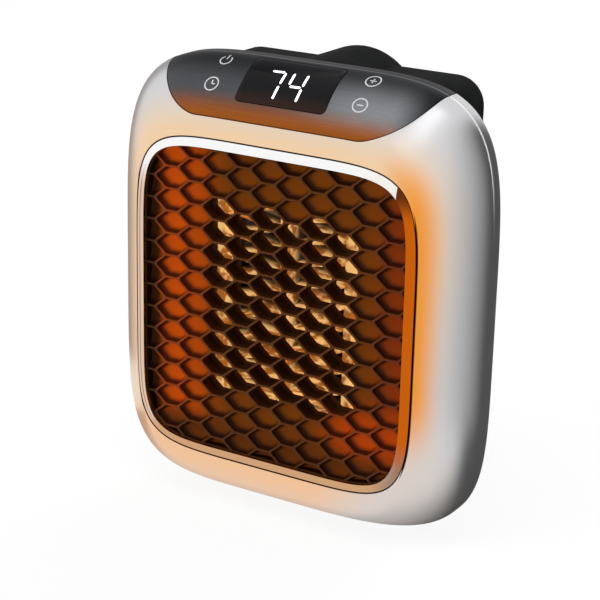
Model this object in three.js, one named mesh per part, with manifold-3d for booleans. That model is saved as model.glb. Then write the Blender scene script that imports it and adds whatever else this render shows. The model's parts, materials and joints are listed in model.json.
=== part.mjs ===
// Plug-in fan heater: a silver front housing with a chrome-framed honeycomb outlet and a sloped
// touch panel, closed by a black rear cover that carries a rotating two-prong plug.
// Millimetres, +Z up, front towards -Y. The origin is the middle of the plug's flat face, which
// rests on the wall. The pieces are drawn about the middle of the outlet and then moved there.

import Module from 'manifold-3d';
import * as THREE from 'three';
import { mergeVertices } from 'three/addons/utils/BufferGeometryUtils.js';

const wasm = await Module();
wasm.setup();

// Fits shared by all pieces
const fitGap = 0.3;
const cutOverrun = 1;

// The outlet, which sets how wide and high the heater is
const bezelHalfWidth = 50;
const bezelHalfHeight = 52.2;

// Front housing: flat face, bulged sides, then a straight rim band
const faceMarginAbove = 8.5;
const faceMarginBelow = 8.7;
const bulgeSide = 15.1;
const bulgeAbove = 14.8;
const bulgeBelow = 6.9;
const shellCentreRise = 3.1;
const bulgeDepth = 19.7;
const rimBandDepth = 4.9;
const shellWall = 2.2;
const frontWall = 3.2;
const faceExponent = 4.9;
const shellTopExponent = 4.8;
const shellBottomExponent = 5.3;
const bulgeExponent = 2.2;
const outlineCount = 40;
const bulgeCount = 6;

// Bosses in the housing that take the cover screws
const coverScrewSideInset = 15.1;
const coverScrewTopInset = 24.5;
const coverScrewLowInset = 16.8;
const coverBossRadius = 3.4;
const coverBossHoleDepth = 9;

// Chrome bezel round the outlet
const bezelBand = 3;
const bezelRise = 0.95;
const bezelDepth = 1.2;
const bezelSkirt = 1.4;
const bezelFootDepth = 0.2;
const bezelOuterExponent = 5.9;
const bezelInnerExponent = 6.8;

// Honeycomb grille: its outer cells are blind and the ones in its middle let the air out, through
// collars that reach back almost to the element
const grilleSetback = 0.5;
const grilleDepth = 3;
const grilleFlange = 1.5;
const grilleFlangeReach = 2.2;
const grilleRim = 1.2;
const cellAcross = 8.85;
const cellUp = 7.28;
const cellFlat = 4.4;
const cellRib = 0.7;
const cellShiftAcross = -1.7;
const cellShiftUp = 1.1;
const outletHalfWidth = 27;
const outletHalfHeight = 31;
const collarGap = 0.5;

// Sloped control panel
const panelAngle = Math.PI / 4;
const panelFootDrop = 1.2;
const panelEarRise = 22.4;
const panelReach = 12;
const panelSideInset = 17.1;
const panelFootTaper = 19.5;
const panelWall = 2;
const panelPostRadius = 1.6;
const panelCornerExponent = 1.7;
const panelCornerCount = 8;

// Display lens in the panel
const lensHalfWidth = 15.7;
const lensFootRise = 5.8;
const lensLength = 17.6;
const lensCorner = 1.5;
const lensThickness = 1.2;

// Touch fields, control board and display module under the panel
const touchGap = 10.3;
const touchLowerRise = 10.3;
const touchUpperRise = 20;
const touchPadRadius = 3.6;
const boardThickness = 1.6;
const controlBoardSink = 4;
const controlBoardReach = 9;
const controlBoardFootRise = 5;
const controlBoardLength = 16;
const displayModuleHalfWidth = 14;
const displayModuleLength = 12;
const displayModuleThickness = 1.4;

// Heat shield, a pan with a round hole in its back
const shieldInset = 0.5;
const shieldDepth = 15;
const shieldSheet = 0.8;

// Ceramic heating element with corrugated fins
const barThickness = 2.6;
const barCount = 3;
const elementSideGap = 4.1;
const elementEndGap = 2.8;
const finPitch = 3.5;
const finFoil = 0.4;
const elementDepth = 10;
const elementBackGap = 1.4;
const holderHeight = 6;
const holderDepth = 11.6;
const holderSlotDepth = 4;
const holderEnd = 2;

// Overheat switch on top of the heat shield
const cutoutRadius = 5.5;
const cutoutHeight = 5;
const cutoutFlangeRadius = 7;
const cutoutFlange = 1;
const cutoutAcross = -20;

// Fan frame with its ring, flange, struts and motor cup
const fanAxisHeight = -8;
const fanSideMargin = 20;
const fanEndMargin = 22.2;
const fanRingWall = 2;
const fanDepth = 12;
const fanFlangeReach = 4;
const fanFlangeCorner = 5;
const fanFlangeThickness = 3;
const fanScrewInset = 5;
const strutCount = 4;
const strutWidth = 3;
const strutThickness = 2.2;
const motorCupWall = 1.7;
const motorCupDepth = 9;
const motorCupLip = 1.2;

// Fan motor and shaft
const motorRadius = 12;
const motorLength = 12;
const motorNoseRadius = 3.6;
const motorNoseLength = 1.2;
const shaftRadius = 1.2;
const shaftTail = 1.5;

// Fan impeller
const hubRadius = 11;
const hubDepth = 7.4;
const hubWall = 1.6;
const hubCoreRadius = 3.2;
const hubSetback = 1;
const vaneCount = 7;
const vaneTipGap = 0.8;
const vaneThickness = 1.1;
const vaneRootChord = 8.4;
const vaneTipChord = 12;
const vaneRootAngle = 0.8;
const vaneTipAngle = 0.45;
const vaneSectionCount = 4;
const vaneCamberShare = 1 / 16;

// Rear cover: a box on a plate that fits in the housing's rim
const coverSideInset = 20.2;
const coverTopInset = 4.3;
const coverLowInset = 7.8;
const coverBackGap = 7;
const coverCorner = 9.2;
const coverEdge = 3;
const coverWall = 2;
const coverEdgeCount = 3;
const coverCornerCount = 5;
const platePocket = 1.8;
const plateThickness = 2.2;
const postRadius = 3.2;

// Intake slots in the rear cover
const slotHeight = 2.4;
const slotPitch = 5.6;
const slotFieldReach = 1;
const slotRib = 3;
const sideSlotLength = 18;
const sideSlotCount = 8;

// Plug boss on the rear cover
const plugAxisDrop = 17.8;
const bossWall = 1.8;
const bossRunGap = 0.5;
const bossProud = 2.1;
const bossEdge = 1.2;

// Rotating plug
const turretRadius = 17.2;
const turretProud = 1.5;
const turretLip = 2.4;
const turretFlange = 4.4;
const turretEdge = 0.8;
const prongSpacing = 12.7;
const prongThickness = 1.5;
const prongLiveWidth = 6.3;
const prongNeutralWidth = 7.9;
const prongReach = 17.5;
const prongTaper = 2;
const prongHoleRadius = 1.6;
const prongHoleFromTip = 5.6;

// Contact rings on the plug and the brushes that ride on them
const ringThickness = 0.8;
const liveRingOuter = 15.4;
const liveRingInner = 12.4;
const liveTabEnd = 4.8;
const neutralRingOuter = 3.4;
const neutralRingInner = 1;
const neutralTabEnd = 7.8;
const ringTabHalf = 2.8;
const brushWidth = 4;
const brushFoil = 0.6;
const brushFoot = 1.6;

// Retainer that keeps the plug in its boss
const retainerInner = 16.1;
const retainerThickness = 1.8;
const retainerScrewAcross = 27;
const retainerEar = 4;

// Power board at the bottom of the rear cover
const powerBoardSideGap = 6.9;
const powerBoardLength = 23;
const powerBoardBackGap = 2;
const powerBoardStand = 1.6;
const boardScrewInset = 4;
const relayWidth = 19;
const relayLength = 15;
const relayHeight = 9.4;
const relayAcross = -8;
const capacitorRadius = 4.6;
const capacitorHeight = 9;
const capacitorInset = 8;

// Main switch on the left side of the rear cover
const switchDrop = 30.2;
const switchBackInset = 10.9;
const switchFlangeHeight = 15;
const switchFlangeWidth = 10.4;
const switchFlange = 1.2;
const switchBodyHeight = 12.6;
const switchBodyWidth = 8;
const switchBodyDepth = 11;
const switchPocketHeight = 11;
const switchPocketWidth = 6.6;
const switchPocketDepth = 4.2;
const rockerHalfHeight = 4.8;
const rockerRise = 2.1;
const rockerDip = 0.9;
const rockerSkirt = 1.1;
const rockerKeel = 2.4;
const rockerSink = 0.6;
const rockerTilt = Math.PI / 15;

// Screws
const screwHeadRadius = 2.6;
const screwHeadHeight = 1.4;
const screwHeadEdge = 0.5;
const screwSides = 8;
const screwShankRadius = 1.3;
const coverScrewLength = 10;
const fanScrewLength = 9;
const retainerScrewLength = 6;
const boardScrewLength = 3;

// Leads
const leadRadius = 1.1;
const cableRadius = 1.5;
const leadSides = 8;
const leadSpareSteps = 3;

// Facets of round shapes
const roundSides = 28;
const smallSides = 10;
const curveSegments = 4;

// Widths and heights worked out from the sizes above
const faceHalfWidth = bezelHalfWidth;
const faceTop = bezelHalfHeight + faceMarginAbove;
const faceAbove = faceTop - shellCentreRise;
const faceBelow = bezelHalfHeight + faceMarginBelow + shellCentreRise;
const shellHalfWidth = faceHalfWidth + bulgeSide;
const shellAbove = faceAbove + bulgeAbove;
const shellBelow = faceBelow + bulgeBelow;
const shellTop = shellCentreRise + shellAbove;
const shellBottom = shellCentreRise - shellBelow;
const coverScrewAcross = shellHalfWidth - coverScrewSideInset;
const coverScrewTop = shellTop - coverScrewTopInset;
const coverScrewBottom = shellBottom + coverScrewLowInset;
const panelFootHeight = faceTop - panelFootDrop;
const panelHalfWidth = shellHalfWidth - panelSideInset;
const panelFootHalfWidth = panelHalfWidth - panelFootTaper;
const touchAcross = lensHalfWidth + touchGap;
const controlBoardHalfWidth = touchAcross + controlBoardReach;
const fanBoreRadius = Math.min(bezelHalfWidth - fanSideMargin, bezelHalfHeight - fanEndMargin);
const fanFlangeHalf = fanBoreRadius + fanFlangeReach;
const fanScrewOffset = fanFlangeHalf - fanScrewInset;
const coverHalfWidth = shellHalfWidth - coverSideInset;
const coverTop = shellTop - coverTopInset;
const coverBottom = shellBottom + coverLowInset;
const slotFieldRadius = fanBoreRadius + slotFieldReach;
const turretFlangeRadius = turretRadius + turretLip;
const bossRadius = turretFlangeRadius + bossRunGap + bossWall;
const plugAxisHeight = coverTop - plugAxisDrop;
const powerBoardHalfWidth = coverHalfWidth - coverWall - powerBoardSideGap;
const boardScrewAcross = powerBoardHalfWidth - boardScrewInset;
const capacitorAcross = boardScrewAcross - capacitorInset;
const switchUp = coverTop - switchDrop;

// Places worked out from the sizes above, in depth behind the housing's face
const shellDepth = bulgeDepth + rimBandDepth;
const grilleBack = grilleSetback + grilleDepth + grilleFlange;
const grilleEdge = bezelSkirt + 2 * fitGap;
const shieldEdge = grilleEdge - grilleFlangeReach + shieldInset;
const shieldFront = grilleBack + fitGap;
const shieldBack = shieldFront + shieldDepth;
const plateBack = shellDepth - platePocket;
const plateFront = plateBack - plateThickness;
const fanFront = shieldBack + fitGap;
const fanBack = fanFront + fanDepth;
const strutFront = fanBack - strutThickness;
const motorFront = strutFront + motorCupLip + fitGap;
const motorBack = motorFront + motorLength;
const coverInnerBack = motorBack + coverBackGap;
const coverBackDepth = coverInnerBack + coverWall;
const bossBack = coverBackDepth + bossProud;
const bossInnerBack = bossBack - coverWall;
const wallPlane = bossBack + turretProud;
const switchDepth = coverBackDepth - switchBackInset;
const hubFront = fanFront + hubSetback;
const turretInner = bossInnerBack - fitGap - turretFlange;
const retainerBack = turretInner - fitGap;
const retainerFront = retainerBack - retainerThickness;
const slopeFoot = panelFootHeight * Math.sin(panelAngle);
const slopeLevel = panelFootHeight * Math.cos(panelAngle);
const controlBoardTop = slopeLevel - controlBoardSink;
const powerBoardLow = coverBottom + coverWall + powerBoardStand + fitGap;
const powerBoardTop = powerBoardLow + boardThickness;
const powerBoardBack = coverInnerBack - powerBoardBackGap;
const powerBoardMiddle = powerBoardBack - powerBoardLength / 2;
const elementInset = shieldEdge + shieldSheet;
const elementHalfWidth = bezelHalfWidth - elementInset - elementSideGap;
const barsAcross = barCount * (barThickness + 2 * fitGap);
const finStackWidth = (2 * elementHalfWidth - barsAcross) / (barCount + 1);
const holderReach = holderHeight + fitGap + elementEndGap;
const finHeight = 2 * (bezelHalfHeight - elementInset - holderReach);
const elementPitch = finStackWidth + barThickness + 2 * fitGap;
const elementBack = shieldBack - shieldSheet - elementBackGap;
const elementMiddle = elementBack - elementDepth / 2;
const collarBack = elementMiddle - elementDepth / 2 - collarGap;
const shieldTop = bezelHalfHeight - shieldEdge;
const screwHoleRadius = screwShankRadius + fitGap;
const brushFront = retainerFront - 2 * fitGap - brushFoil;
const switchLeft = -coverHalfWidth - fitGap;
const switchEnd = switchLeft + switchBodyDepth + fitGap;
const boardLevel = powerBoardTop + fitGap;
const heaterLeadHeight = -(finHeight + holderHeight) / 2 - fitGap;
const quarterSigns = [[-1, -1], [1, -1], [1, 1], [-1, 1]];

// Finishes
const finishes = {
  silver: { color: 0xb9bbbd, roughness: 0.32, metalness: 0.6 },
  chrome: { color: 0xe4e4e6, roughness: 0.08, metalness: 1 },
  darkPlastic: { color: 0x2a1d14, roughness: 0.55, metalness: 0 },
  graphite: { color: 0x3a3d42, roughness: 0.4, metalness: 0.35 },
  blackGloss: { color: 0x050506, roughness: 0.06, metalness: 0 },
  blackPlastic: { color: 0x0f1012, roughness: 0.45, metalness: 0 },
  insulator: { color: 0xc9b48a, roughness: 0.8, metalness: 0 },
  aluminium: { color: 0xa8aaac, roughness: 0.35, metalness: 0.9 },
  steel: { color: 0x8c8f93, roughness: 0.3, metalness: 1 },
  brass: { color: 0xb9903f, roughness: 0.3, metalness: 1 },
  nickel: { color: 0xb8b4aa, roughness: 0.22, metalness: 1 },
  circuitGreen: { color: 0x1f5a34, roughness: 0.5, metalness: 0.1 },
  relayBlue: { color: 0x274f8c, roughness: 0.5, metalness: 0 },
  foam: { color: 0x2b2b2b, roughness: 0.9, metalness: 0 },
  leadRed: { color: 0x8f2018, roughness: 0.6, metalness: 0 },
  leadWhite: { color: 0xd0cdc4, roughness: 0.6, metalness: 0 },
};

// Closed solid of a closed mesh
function solid(geometry) {
  const bare = geometry.index ? geometry.toNonIndexed() : geometry.clone();
  bare.deleteAttribute('normal');
  bare.deleteAttribute('uv');
  const merged = mergeVertices(bare);
  const corners = merged.index.array;
  const faces = [];
  for (let i = 0; i < corners.length; i += 3) {
    const [a, b, c] = [corners[i], corners[i + 1], corners[i + 2]];
    if (a !== b && b !== c && c !== a) faces.push(a, b, c);
  }
  const mesh = new wasm.Mesh({
    numProp: 3,
    vertProperties: new Float32Array(merged.attributes.position.array),
    triVerts: new Uint32Array(faces),
  });
  return new wasm.Manifold(mesh);
}

// Mesh geometry of a solid
function surface(body) {
  const mesh = body.getMesh();
  const geometry = new THREE.BufferGeometry();
  geometry.setAttribute('position', new THREE.BufferAttribute(mesh.vertProperties, 3));
  geometry.setIndex(new THREE.BufferAttribute(mesh.triVerts, 1));
  geometry.computeVertexNormals();
  return geometry;
}

// Closed skin over rings of points, from the front ring to the back one
function loft(rings) {
  const count = rings[0].length;
  const middle = (ring) => ring.reduce((sum, p) => sum.add(p), new THREE.Vector3()).divideScalar(count);
  const points = [...rings.flat(), middle(rings[0]), middle(rings.at(-1))];
  const frontMiddle = rings.length * count;
  const backMiddle = frontMiddle + 1;
  const last = (rings.length - 1) * count;
  const faces = [];
  for (let j = 0; j < count; j += 1) {
    const next = (j + 1) % count;
    faces.push(frontMiddle, j, next, backMiddle, last + next, last + j);
    for (let start = 0; start < last; start += count) {
      const [a, b] = [start + j, start + next];
      const [c, d] = [b + count, a + count];
      faces.push(a, d, b, b, d, c);
    }
  }
  return new THREE.BufferGeometry().setFromPoints(points).setIndex(faces);
}

// Closed band whose section runs through the rings and back to the first
function band(rings) {
  const count = rings[0].length;
  const faces = [];
  rings.forEach((_, i) => {
    const start = i * count;
    const after = ((i + 1) % rings.length) * count;
    for (let j = 0; j < count; j += 1) {
      const next = (j + 1) % count;
      faces.push(start + j, after + j, start + next, start + next, after + j, after + next);
    }
  });
  return new THREE.BufferGeometry().setFromPoints(rings.flat()).setIndex(faces);
}

// Superellipse ring in the plane at one depth
function ovalRing(oval, depth) {
  const centre = oval.centre ?? 0;
  return Array.from({ length: outlineCount }, (_, i) => {
    const turn = (2 * Math.PI * i) / outlineCount;
    const [across, up] = [Math.cos(turn), Math.sin(turn)];
    const power = 2 / (up < 0 ? oval.bottomExponent : oval.topExponent);
    const reach = up < 0 ? oval.below : oval.above;
    return new THREE.Vector3(
      oval.halfWidth * Math.sign(across) * Math.abs(across) ** power,
      depth,
      centre + reach * Math.sign(up) * Math.abs(up) ** power,
    );
  });
}

// Outline with four rounded corners, drawn in its own plane
function roundedBox(left, low, right, high, corner) {
  const quarter = Math.PI / 2;
  const shape = new THREE.Shape();
  shape.absarc(right - corner, low + corner, corner, -quarter, 0);
  shape.absarc(right - corner, high - corner, corner, 0, quarter);
  shape.absarc(left + corner, high - corner, corner, quarter, 2 * quarter);
  shape.absarc(left + corner, low + corner, corner, 2 * quarter, 3 * quarter);
  shape.closePath();
  return shape;
}

// Round outline about (across, up)
function disc(across, up, radius) {
  return new THREE.Shape().absarc(across, up, radius, 0, 2 * Math.PI);
}

// Outline of straight runs through named points
function outline(...corners) {
  return new THREE.Shape(corners.map(([across, up]) => new THREE.Vector2(across, up)));
}

// Upright prism of a shape drawn in plan
function prism(shape, height) {
  return new THREE.ExtrudeGeometry(shape, { depth: height, bevelEnabled: false, curveSegments });
}

// Prism along the depth of a shape drawn across and up
function prismInDepth(shape, front, back) {
  return prism(shape, back - front).rotateX(Math.PI / 2).translate(0, back, 0);
}

// Prism from left to right of a shape drawn in depth and up
function prismAcross(shape, left, right) {
  const turn = new THREE.Matrix4().makeBasis(
    new THREE.Vector3(0, 1, 0),
    new THREE.Vector3(0, 0, 1),
    new THREE.Vector3(1, 0, 0),
  );
  return prism(shape, right - left).applyMatrix4(turn).translate(left, 0, 0);
}

// Prism square to the control panel's slope, between two heights over it
function prismOnSlope(shape, low, high) {
  return prism(shape, high - low).translate(0, 0, low).rotateX(panelAngle);
}

// Block between two corners
function block(left, front, low, right, back, high) {
  const geometry = new THREE.BoxGeometry(right - left, back - front, high - low);
  return geometry.translate((left + right) / 2, (front + back) / 2, (low + high) / 2);
}

// Round rod along the depth, about an axis at (across, up)
function rod(radius, front, back, across = 0, up = 0, sides = roundSides) {
  const geometry = new THREE.CylinderGeometry(radius, radius, back - front, sides);
  return geometry.translate(across, (front + back) / 2, up);
}

// Upright round pillar at (across, depth)
function pillar(radius, low, high, across, depth, sides = smallSides) {
  const geometry = new THREE.CylinderGeometry(radius, radius, high - low, sides);
  return geometry.rotateX(Math.PI / 2).translate(across, depth, (low + high) / 2);
}

// Solid turned about the Y axis from (radius, depth) points that start and end on the axis
function turned(profile, sides = roundSides) {
  const points = profile.map(([radius, depth]) => new THREE.Vector2(radius, depth));
  return new THREE.LatheGeometry(points, sides);
}

// Section of the housing at one depth, drawn in by an inset
function shellRing(depth, inset = 0) {
  const swell = Math.sin(Math.acos(Math.max(0, 1 - depth / bulgeDepth))) ** bulgeExponent;
  const grown = (face, shell) => face + (shell - face) * swell;
  return ovalRing(
    {
      halfWidth: grown(faceHalfWidth, shellHalfWidth) - inset,
      above: grown(faceAbove, shellAbove) - inset,
      below: grown(faceBelow, shellBelow) - inset,
      topExponent: grown(faceExponent, shellTopExponent),
      bottomExponent: grown(faceExponent, shellBottomExponent),
      centre: shellCentreRise,
    },
    depth,
  );
}

// The housing's bulge as a full solid, from one depth to another
function bulge(inset, front, back) {
  const depths = Array.from({ length: bulgeCount + 1 }, (_, i) => {
    const turn = (Math.PI / 2) * (i / bulgeCount);
    return bulgeDepth * (1 - Math.cos(turn));
  });
  const between = depths.filter((depth) => depth > front && depth < back);
  return solid(loft([front, ...between, back].map((depth) => shellRing(depth, inset))));
}

// Outline of the bezel's band, at an inset from its outer edge
function windowOval(inset) {
  const share = inset / bezelBand;
  const exponent = bezelOuterExponent + (bezelInnerExponent - bezelOuterExponent) * share;
  return {
    halfWidth: bezelHalfWidth - inset,
    above: bezelHalfHeight - inset,
    below: bezelHalfHeight - inset,
    topExponent: exponent,
    bottomExponent: exponent,
  };
}

function windowSolid(inset, front, back) {
  return solid(loft([ovalRing(windowOval(inset), front), ovalRing(windowOval(inset), back)]));
}

// Outline of the control panel on its slope, grown by a gap
function panelShape(gap) {
  const foot = slopeFoot - gap;
  const ear = slopeFoot + panelEarRise;
  const top = ear + shellDepth;
  const halfWidth = panelHalfWidth + gap;
  const corner = (share) => {
    const turn = (Math.PI / 2) * share;
    const power = 2 / panelCornerExponent;
    return [
      panelFootHalfWidth + (halfWidth - panelFootHalfWidth) * Math.sin(turn) ** power,
      ear - (ear - foot) * Math.cos(turn) ** power,
    ];
  };
  const right = Array.from({ length: panelCornerCount + 1 }, (_, i) => corner(i / panelCornerCount));
  const left = right.map(([across, rise]) => [-across, rise]).reverse();
  return outline(...right, [halfWidth, top], [-halfWidth, top], ...left);
}

function panelPrism(gap) {
  return solid(prismOnSlope(panelShape(gap), slopeLevel - panelReach, slopeLevel + panelReach));
}

function lensPrism(gap) {
  const foot = slopeFoot + lensFootRise;
  const shape = roundedBox(
    -lensHalfWidth - gap,
    foot - gap,
    lensHalfWidth + gap,
    foot + lensLength + gap,
    lensCorner + gap,
  );
  return solid(prismOnSlope(shape, slopeLevel - panelReach, slopeLevel + panelReach));
}

// Middle of one cover screw; side is -1 or 1, and end is -1 at the bottom or 1 at the top
function coverScrewPlace(side, end) {
  return [side * coverScrewAcross, end > 0 ? coverScrewTop : coverScrewBottom];
}

const outer = bulge(0, 0, shellDepth);

function frontHousing() {
  const bossBackDepth = plateFront - fitGap;
  const holeFront = bossBackDepth - coverBossHoleDepth;
  let body = outer.subtract(bulge(shellWall, frontWall, shellDepth + cutOverrun));
  for (const [side, end] of quarterSigns) {
    const place = coverScrewPlace(side, end);
    const boss = solid(rod(coverBossRadius, 0, bossBackDepth, ...place, smallSides));
    const hole = solid(rod(screwHoleRadius, holeFront, shellDepth, ...place, smallSides));
    body = body.add(boss.intersect(outer)).subtract(hole);
  }
  return body
    .subtract(windowSolid(-fitGap, -cutOverrun, bezelDepth + fitGap))
    .subtract(windowSolid(bezelSkirt + fitGap, 0, frontWall + cutOverrun))
    .subtract(panelPrism(fitGap));
}

function grilleBezel() {
  const section = [
    [0, 0],
    [0, bezelDepth],
    [bezelSkirt, bezelDepth],
    [bezelSkirt, bezelFootDepth],
    [bezelBand, bezelFootDepth],
    [bezelBand, -bezelRise],
  ];
  return solid(band(section.map(([inset, depth]) => ovalRing(windowOval(inset), depth))));
}

// Hexagon of one honeycomb cell, with level top and bottom, drawn in by an inset
function cellShape(across, up, inset) {
  const slantAcross = cellAcross - cellFlat;
  const slantUp = cellUp / 2;
  const slant = Math.hypot(slantAcross, slantUp);
  const side = cellAcross - cellFlat / 2 - (inset * slant) / slantUp;
  const flat = cellFlat / 2 - (inset * (slant - slantAcross)) / slantUp;
  const top = cellUp / 2 - inset;
  const corners = [[side, 0], [flat, top], [-flat, top], [-side, 0], [-flat, -top], [flat, -top]];
  return outline(...corners.map(([x, z]) => [across + x, up + z]));
}

function frontGrille() {
  const flangeFront = grilleSetback + grilleDepth;
  const plate = windowSolid(grilleEdge, grilleSetback, flangeFront + fitGap);
  const flange = windowSolid(grilleEdge - grilleFlangeReach, flangeFront, grilleBack);
  const columnReach = Math.ceil(bezelHalfWidth / cellAcross);
  const rowReach = Math.ceil(bezelHalfHeight / cellUp);
  const halfRib = cellRib / 2;
  const cells = [];
  const collars = [];
  for (let column = -columnReach; column <= columnReach; column += 1) {
    const stagger = column % 2 === 0 ? 0 : cellUp / 2;
    for (let row = -rowReach; row <= rowReach; row += 1) {
      const across = column * cellAcross + cellShiftAcross;
      const up = row * cellUp + stagger + cellShiftUp;
      const open = Math.abs(across) < outletHalfWidth && Math.abs(up) < outletHalfHeight;
      const back = open ? collarBack + cutOverrun : flangeFront;
      cells.push(solid(prismInDepth(cellShape(across, up, halfRib), 0, back)));
      if (open) {
        collars.push(solid(prismInDepth(cellShape(across, up, -halfRib), flangeFront, collarBack)));
      }
    }
  }
  const field = windowSolid(grilleEdge + grilleRim, 0, collarBack + cutOverrun);
  const body = plate.add(flange).add(wasm.Manifold.union(collars));
  return body.subtract(wasm.Manifold.union(cells).intersect(field));
}

function controlPanel() {
  const skin = outer.subtract(bulge(panelWall, panelWall, shellDepth + cutOverrun));
  const postRise = slopeFoot + controlBoardFootRise + controlBoardLength / 2;
  const postAcross = controlBoardHalfWidth - 2 * panelPostRadius;
  let body = skin.intersect(panelPrism(0));
  for (const side of [-1, 1]) {
    const post = disc(side * postAcross, postRise, panelPostRadius);
    const shaft = solid(prismOnSlope(post, controlBoardTop + fitGap, slopeLevel + panelReach));
    body = body.add(shaft.intersect(outer));
  }
  return body.subtract(lensPrism(fitGap));
}

function displayLens() {
  const skin = outer.subtract(bulge(lensThickness, lensThickness, shellDepth + cutOverrun));
  return skin.intersect(lensPrism(0));
}

function controlBoard() {
  const foot = slopeFoot + controlBoardFootRise;
  const half = controlBoardHalfWidth;
  const shape = roundedBox(-half, foot, half, foot + controlBoardLength, boardThickness);
  return prismOnSlope(shape, controlBoardTop - boardThickness, controlBoardTop);
}

function displayModule() {
  const foot = slopeFoot + lensFootRise + (lensLength - displayModuleLength) / 2 - fitGap;
  const top = foot + displayModuleLength;
  const half = displayModuleHalfWidth;
  const low = controlBoardTop + fitGap;
  const shape = outline([-half, foot], [half, foot], [half, top], [-half, top]);
  return prismOnSlope(shape, low, low + displayModuleThickness);
}

// Springy pad between the board and the inside of the panel
function touchPad(across, rise) {
  const shape = disc(across, slopeFoot + rise, touchPadRadius);
  const pad = solid(prismOnSlope(shape, controlBoardTop + fitGap, slopeLevel + panelReach));
  return pad.intersect(bulge(panelWall + fitGap, 0, shellDepth));
}

function heatShield() {
  const inset = shieldEdge;
  const grommet = leadRadius + 2 * fitGap;
  let body = windowSolid(inset, shieldFront, shieldBack)
    .subtract(windowSolid(inset + shieldSheet, shieldFront - cutOverrun, shieldBack - shieldSheet))
    .subtract(solid(rod(fanBoreRadius, shieldFront, shieldBack + cutOverrun, 0, fanAxisHeight)));
  for (const side of [-1, 1]) {
    const place = [(side * elementPitch) / 2, heaterLeadHeight];
    const hole = rod(grommet, shieldFront, shieldBack + cutOverrun, ...place, smallSides);
    body = body.subtract(solid(hole));
  }
  return body;
}

function ptcBar() {
  const half = finHeight / 2 + holderSlotDepth;
  return block(-barThickness / 2, -elementDepth / 2, -half, barThickness / 2, elementDepth / 2, half);
}

// Corrugated strip that fills one column between two bars
function finStack() {
  const foldCount = Math.round(finHeight / finPitch);
  const fold = finHeight / foldCount;
  const half = finStackWidth / 2;
  const slide = (finFoil * finStackWidth) / fold;
  const edge = (shift) => Array.from({ length: foldCount + 1 }, (_, i) => {
    const turned = i % 2 === 0 ? -half : half - slide;
    return [turned + shift, i * fold - finHeight / 2];
  });
  const strip = outline(...edge(0), ...edge(slide).reverse());
  return prismInDepth(strip, -elementDepth / 2, elementDepth / 2);
}

// Insulating holder across one end of the element; end is 1 at the top and -1 at the bottom
function elementHolder(end) {
  const half = ((barCount + 1) * elementPitch) / 2 + holderEnd;
  const near = finHeight / 2 + fitGap;
  const ends = [end * near, end * (near + holderHeight)].sort((a, b) => a - b);
  const back = shieldBack - shieldSheet - fitGap;
  const front = back - holderDepth;
  const roomInset = shieldEdge + shieldSheet + fitGap;
  const room = windowSolid(roomInset, front - cutOverrun, back + cutOverrun);
  let body = solid(block(-half, front, ends[0], half, back, ends[1])).intersect(room);
  const slotHalf = barThickness / 2 + fitGap;
  const slotFront = elementBack - elementDepth - fitGap;
  const slotBack = elementBack + fitGap;
  const slotEnd = finHeight / 2 + holderSlotDepth + fitGap;
  const [slotLow, slotHigh] = [0, end * slotEnd].sort((a, b) => a - b);
  for (let i = 0; i < barCount; i += 1) {
    const across = (i - (barCount - 1) / 2) * elementPitch;
    const slot = block(across - slotHalf, slotFront, slotLow, across + slotHalf, slotBack, slotHigh);
    body = body.subtract(solid(slot));
  }
  return body;
}

function thermalCutout() {
  const profile = [
    [0, 0],
    [cutoutFlangeRadius, 0],
    [cutoutFlangeRadius, cutoutFlange],
    [cutoutRadius, cutoutFlange],
    [cutoutRadius, cutoutHeight],
    [0, cutoutHeight],
  ];
  return turned(profile, smallSides * 2);
}

function fanFrame() {
  const ring = solid(rod(fanBoreRadius + fanRingWall, fanFront, fanBack));
  const half = fanFlangeHalf;
  const flangeShape = roundedBox(-half, -half, half, half, fanFlangeCorner);
  const flange = solid(prismInDepth(flangeShape, fanBack - fanFlangeThickness, fanBack));
  const cupRadius = motorRadius + fitGap + motorCupWall;
  const cup = solid(rod(cupRadius, strutFront, strutFront + motorCupDepth));
  const bore = solid(rod(fanBoreRadius, fanFront - cutOverrun, fanBack + cutOverrun));
  let body = ring.add(flange).subtract(bore);
  for (let i = 0; i < strutCount; i += 1) {
    const reach = fanBoreRadius + fanRingWall / 2;
    const strut = block(0, strutFront, -strutWidth / 2, reach, fanBack, strutWidth / 2);
    body = body.add(solid(strut.rotateY((2 * Math.PI * (i + 0.5)) / strutCount)));
  }
  body = body
    .add(cup)
    .subtract(solid(rod(motorRadius + fitGap, strutFront + motorCupLip, fanBack + motorCupDepth)))
    .subtract(solid(rod(motorNoseRadius + fitGap, strutFront - cutOverrun, motorFront)));
  for (const [across, up] of fanCorners()) {
    const hole = rod(screwHoleRadius, fanFront, fanBack + cutOverrun, across, up, smallSides);
    body = body.subtract(solid(hole));
  }
  return body;
}

// Middles of the fan's screws, about the fan's axis
function fanCorners() {
  return quarterSigns.map(([side, end]) => [side * fanScrewOffset, end * fanScrewOffset]);
}

function fanMotor() {
  const bore = shaftRadius + fitGap;
  const noseFront = motorFront - motorNoseLength;
  const can = solid(rod(motorRadius, motorFront, motorBack));
  const nose = solid(rod(motorNoseRadius, noseFront, motorBack));
  const hole = solid(rod(bore, noseFront - cutOverrun, motorBack + cutOverrun, 0, 0, smallSides));
  return can.add(nose).subtract(hole);
}

function motorShaft() {
  return rod(shaftRadius, hubFront + hubWall + fitGap, motorBack + shaftTail, 0, 0, smallSides);
}

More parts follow.
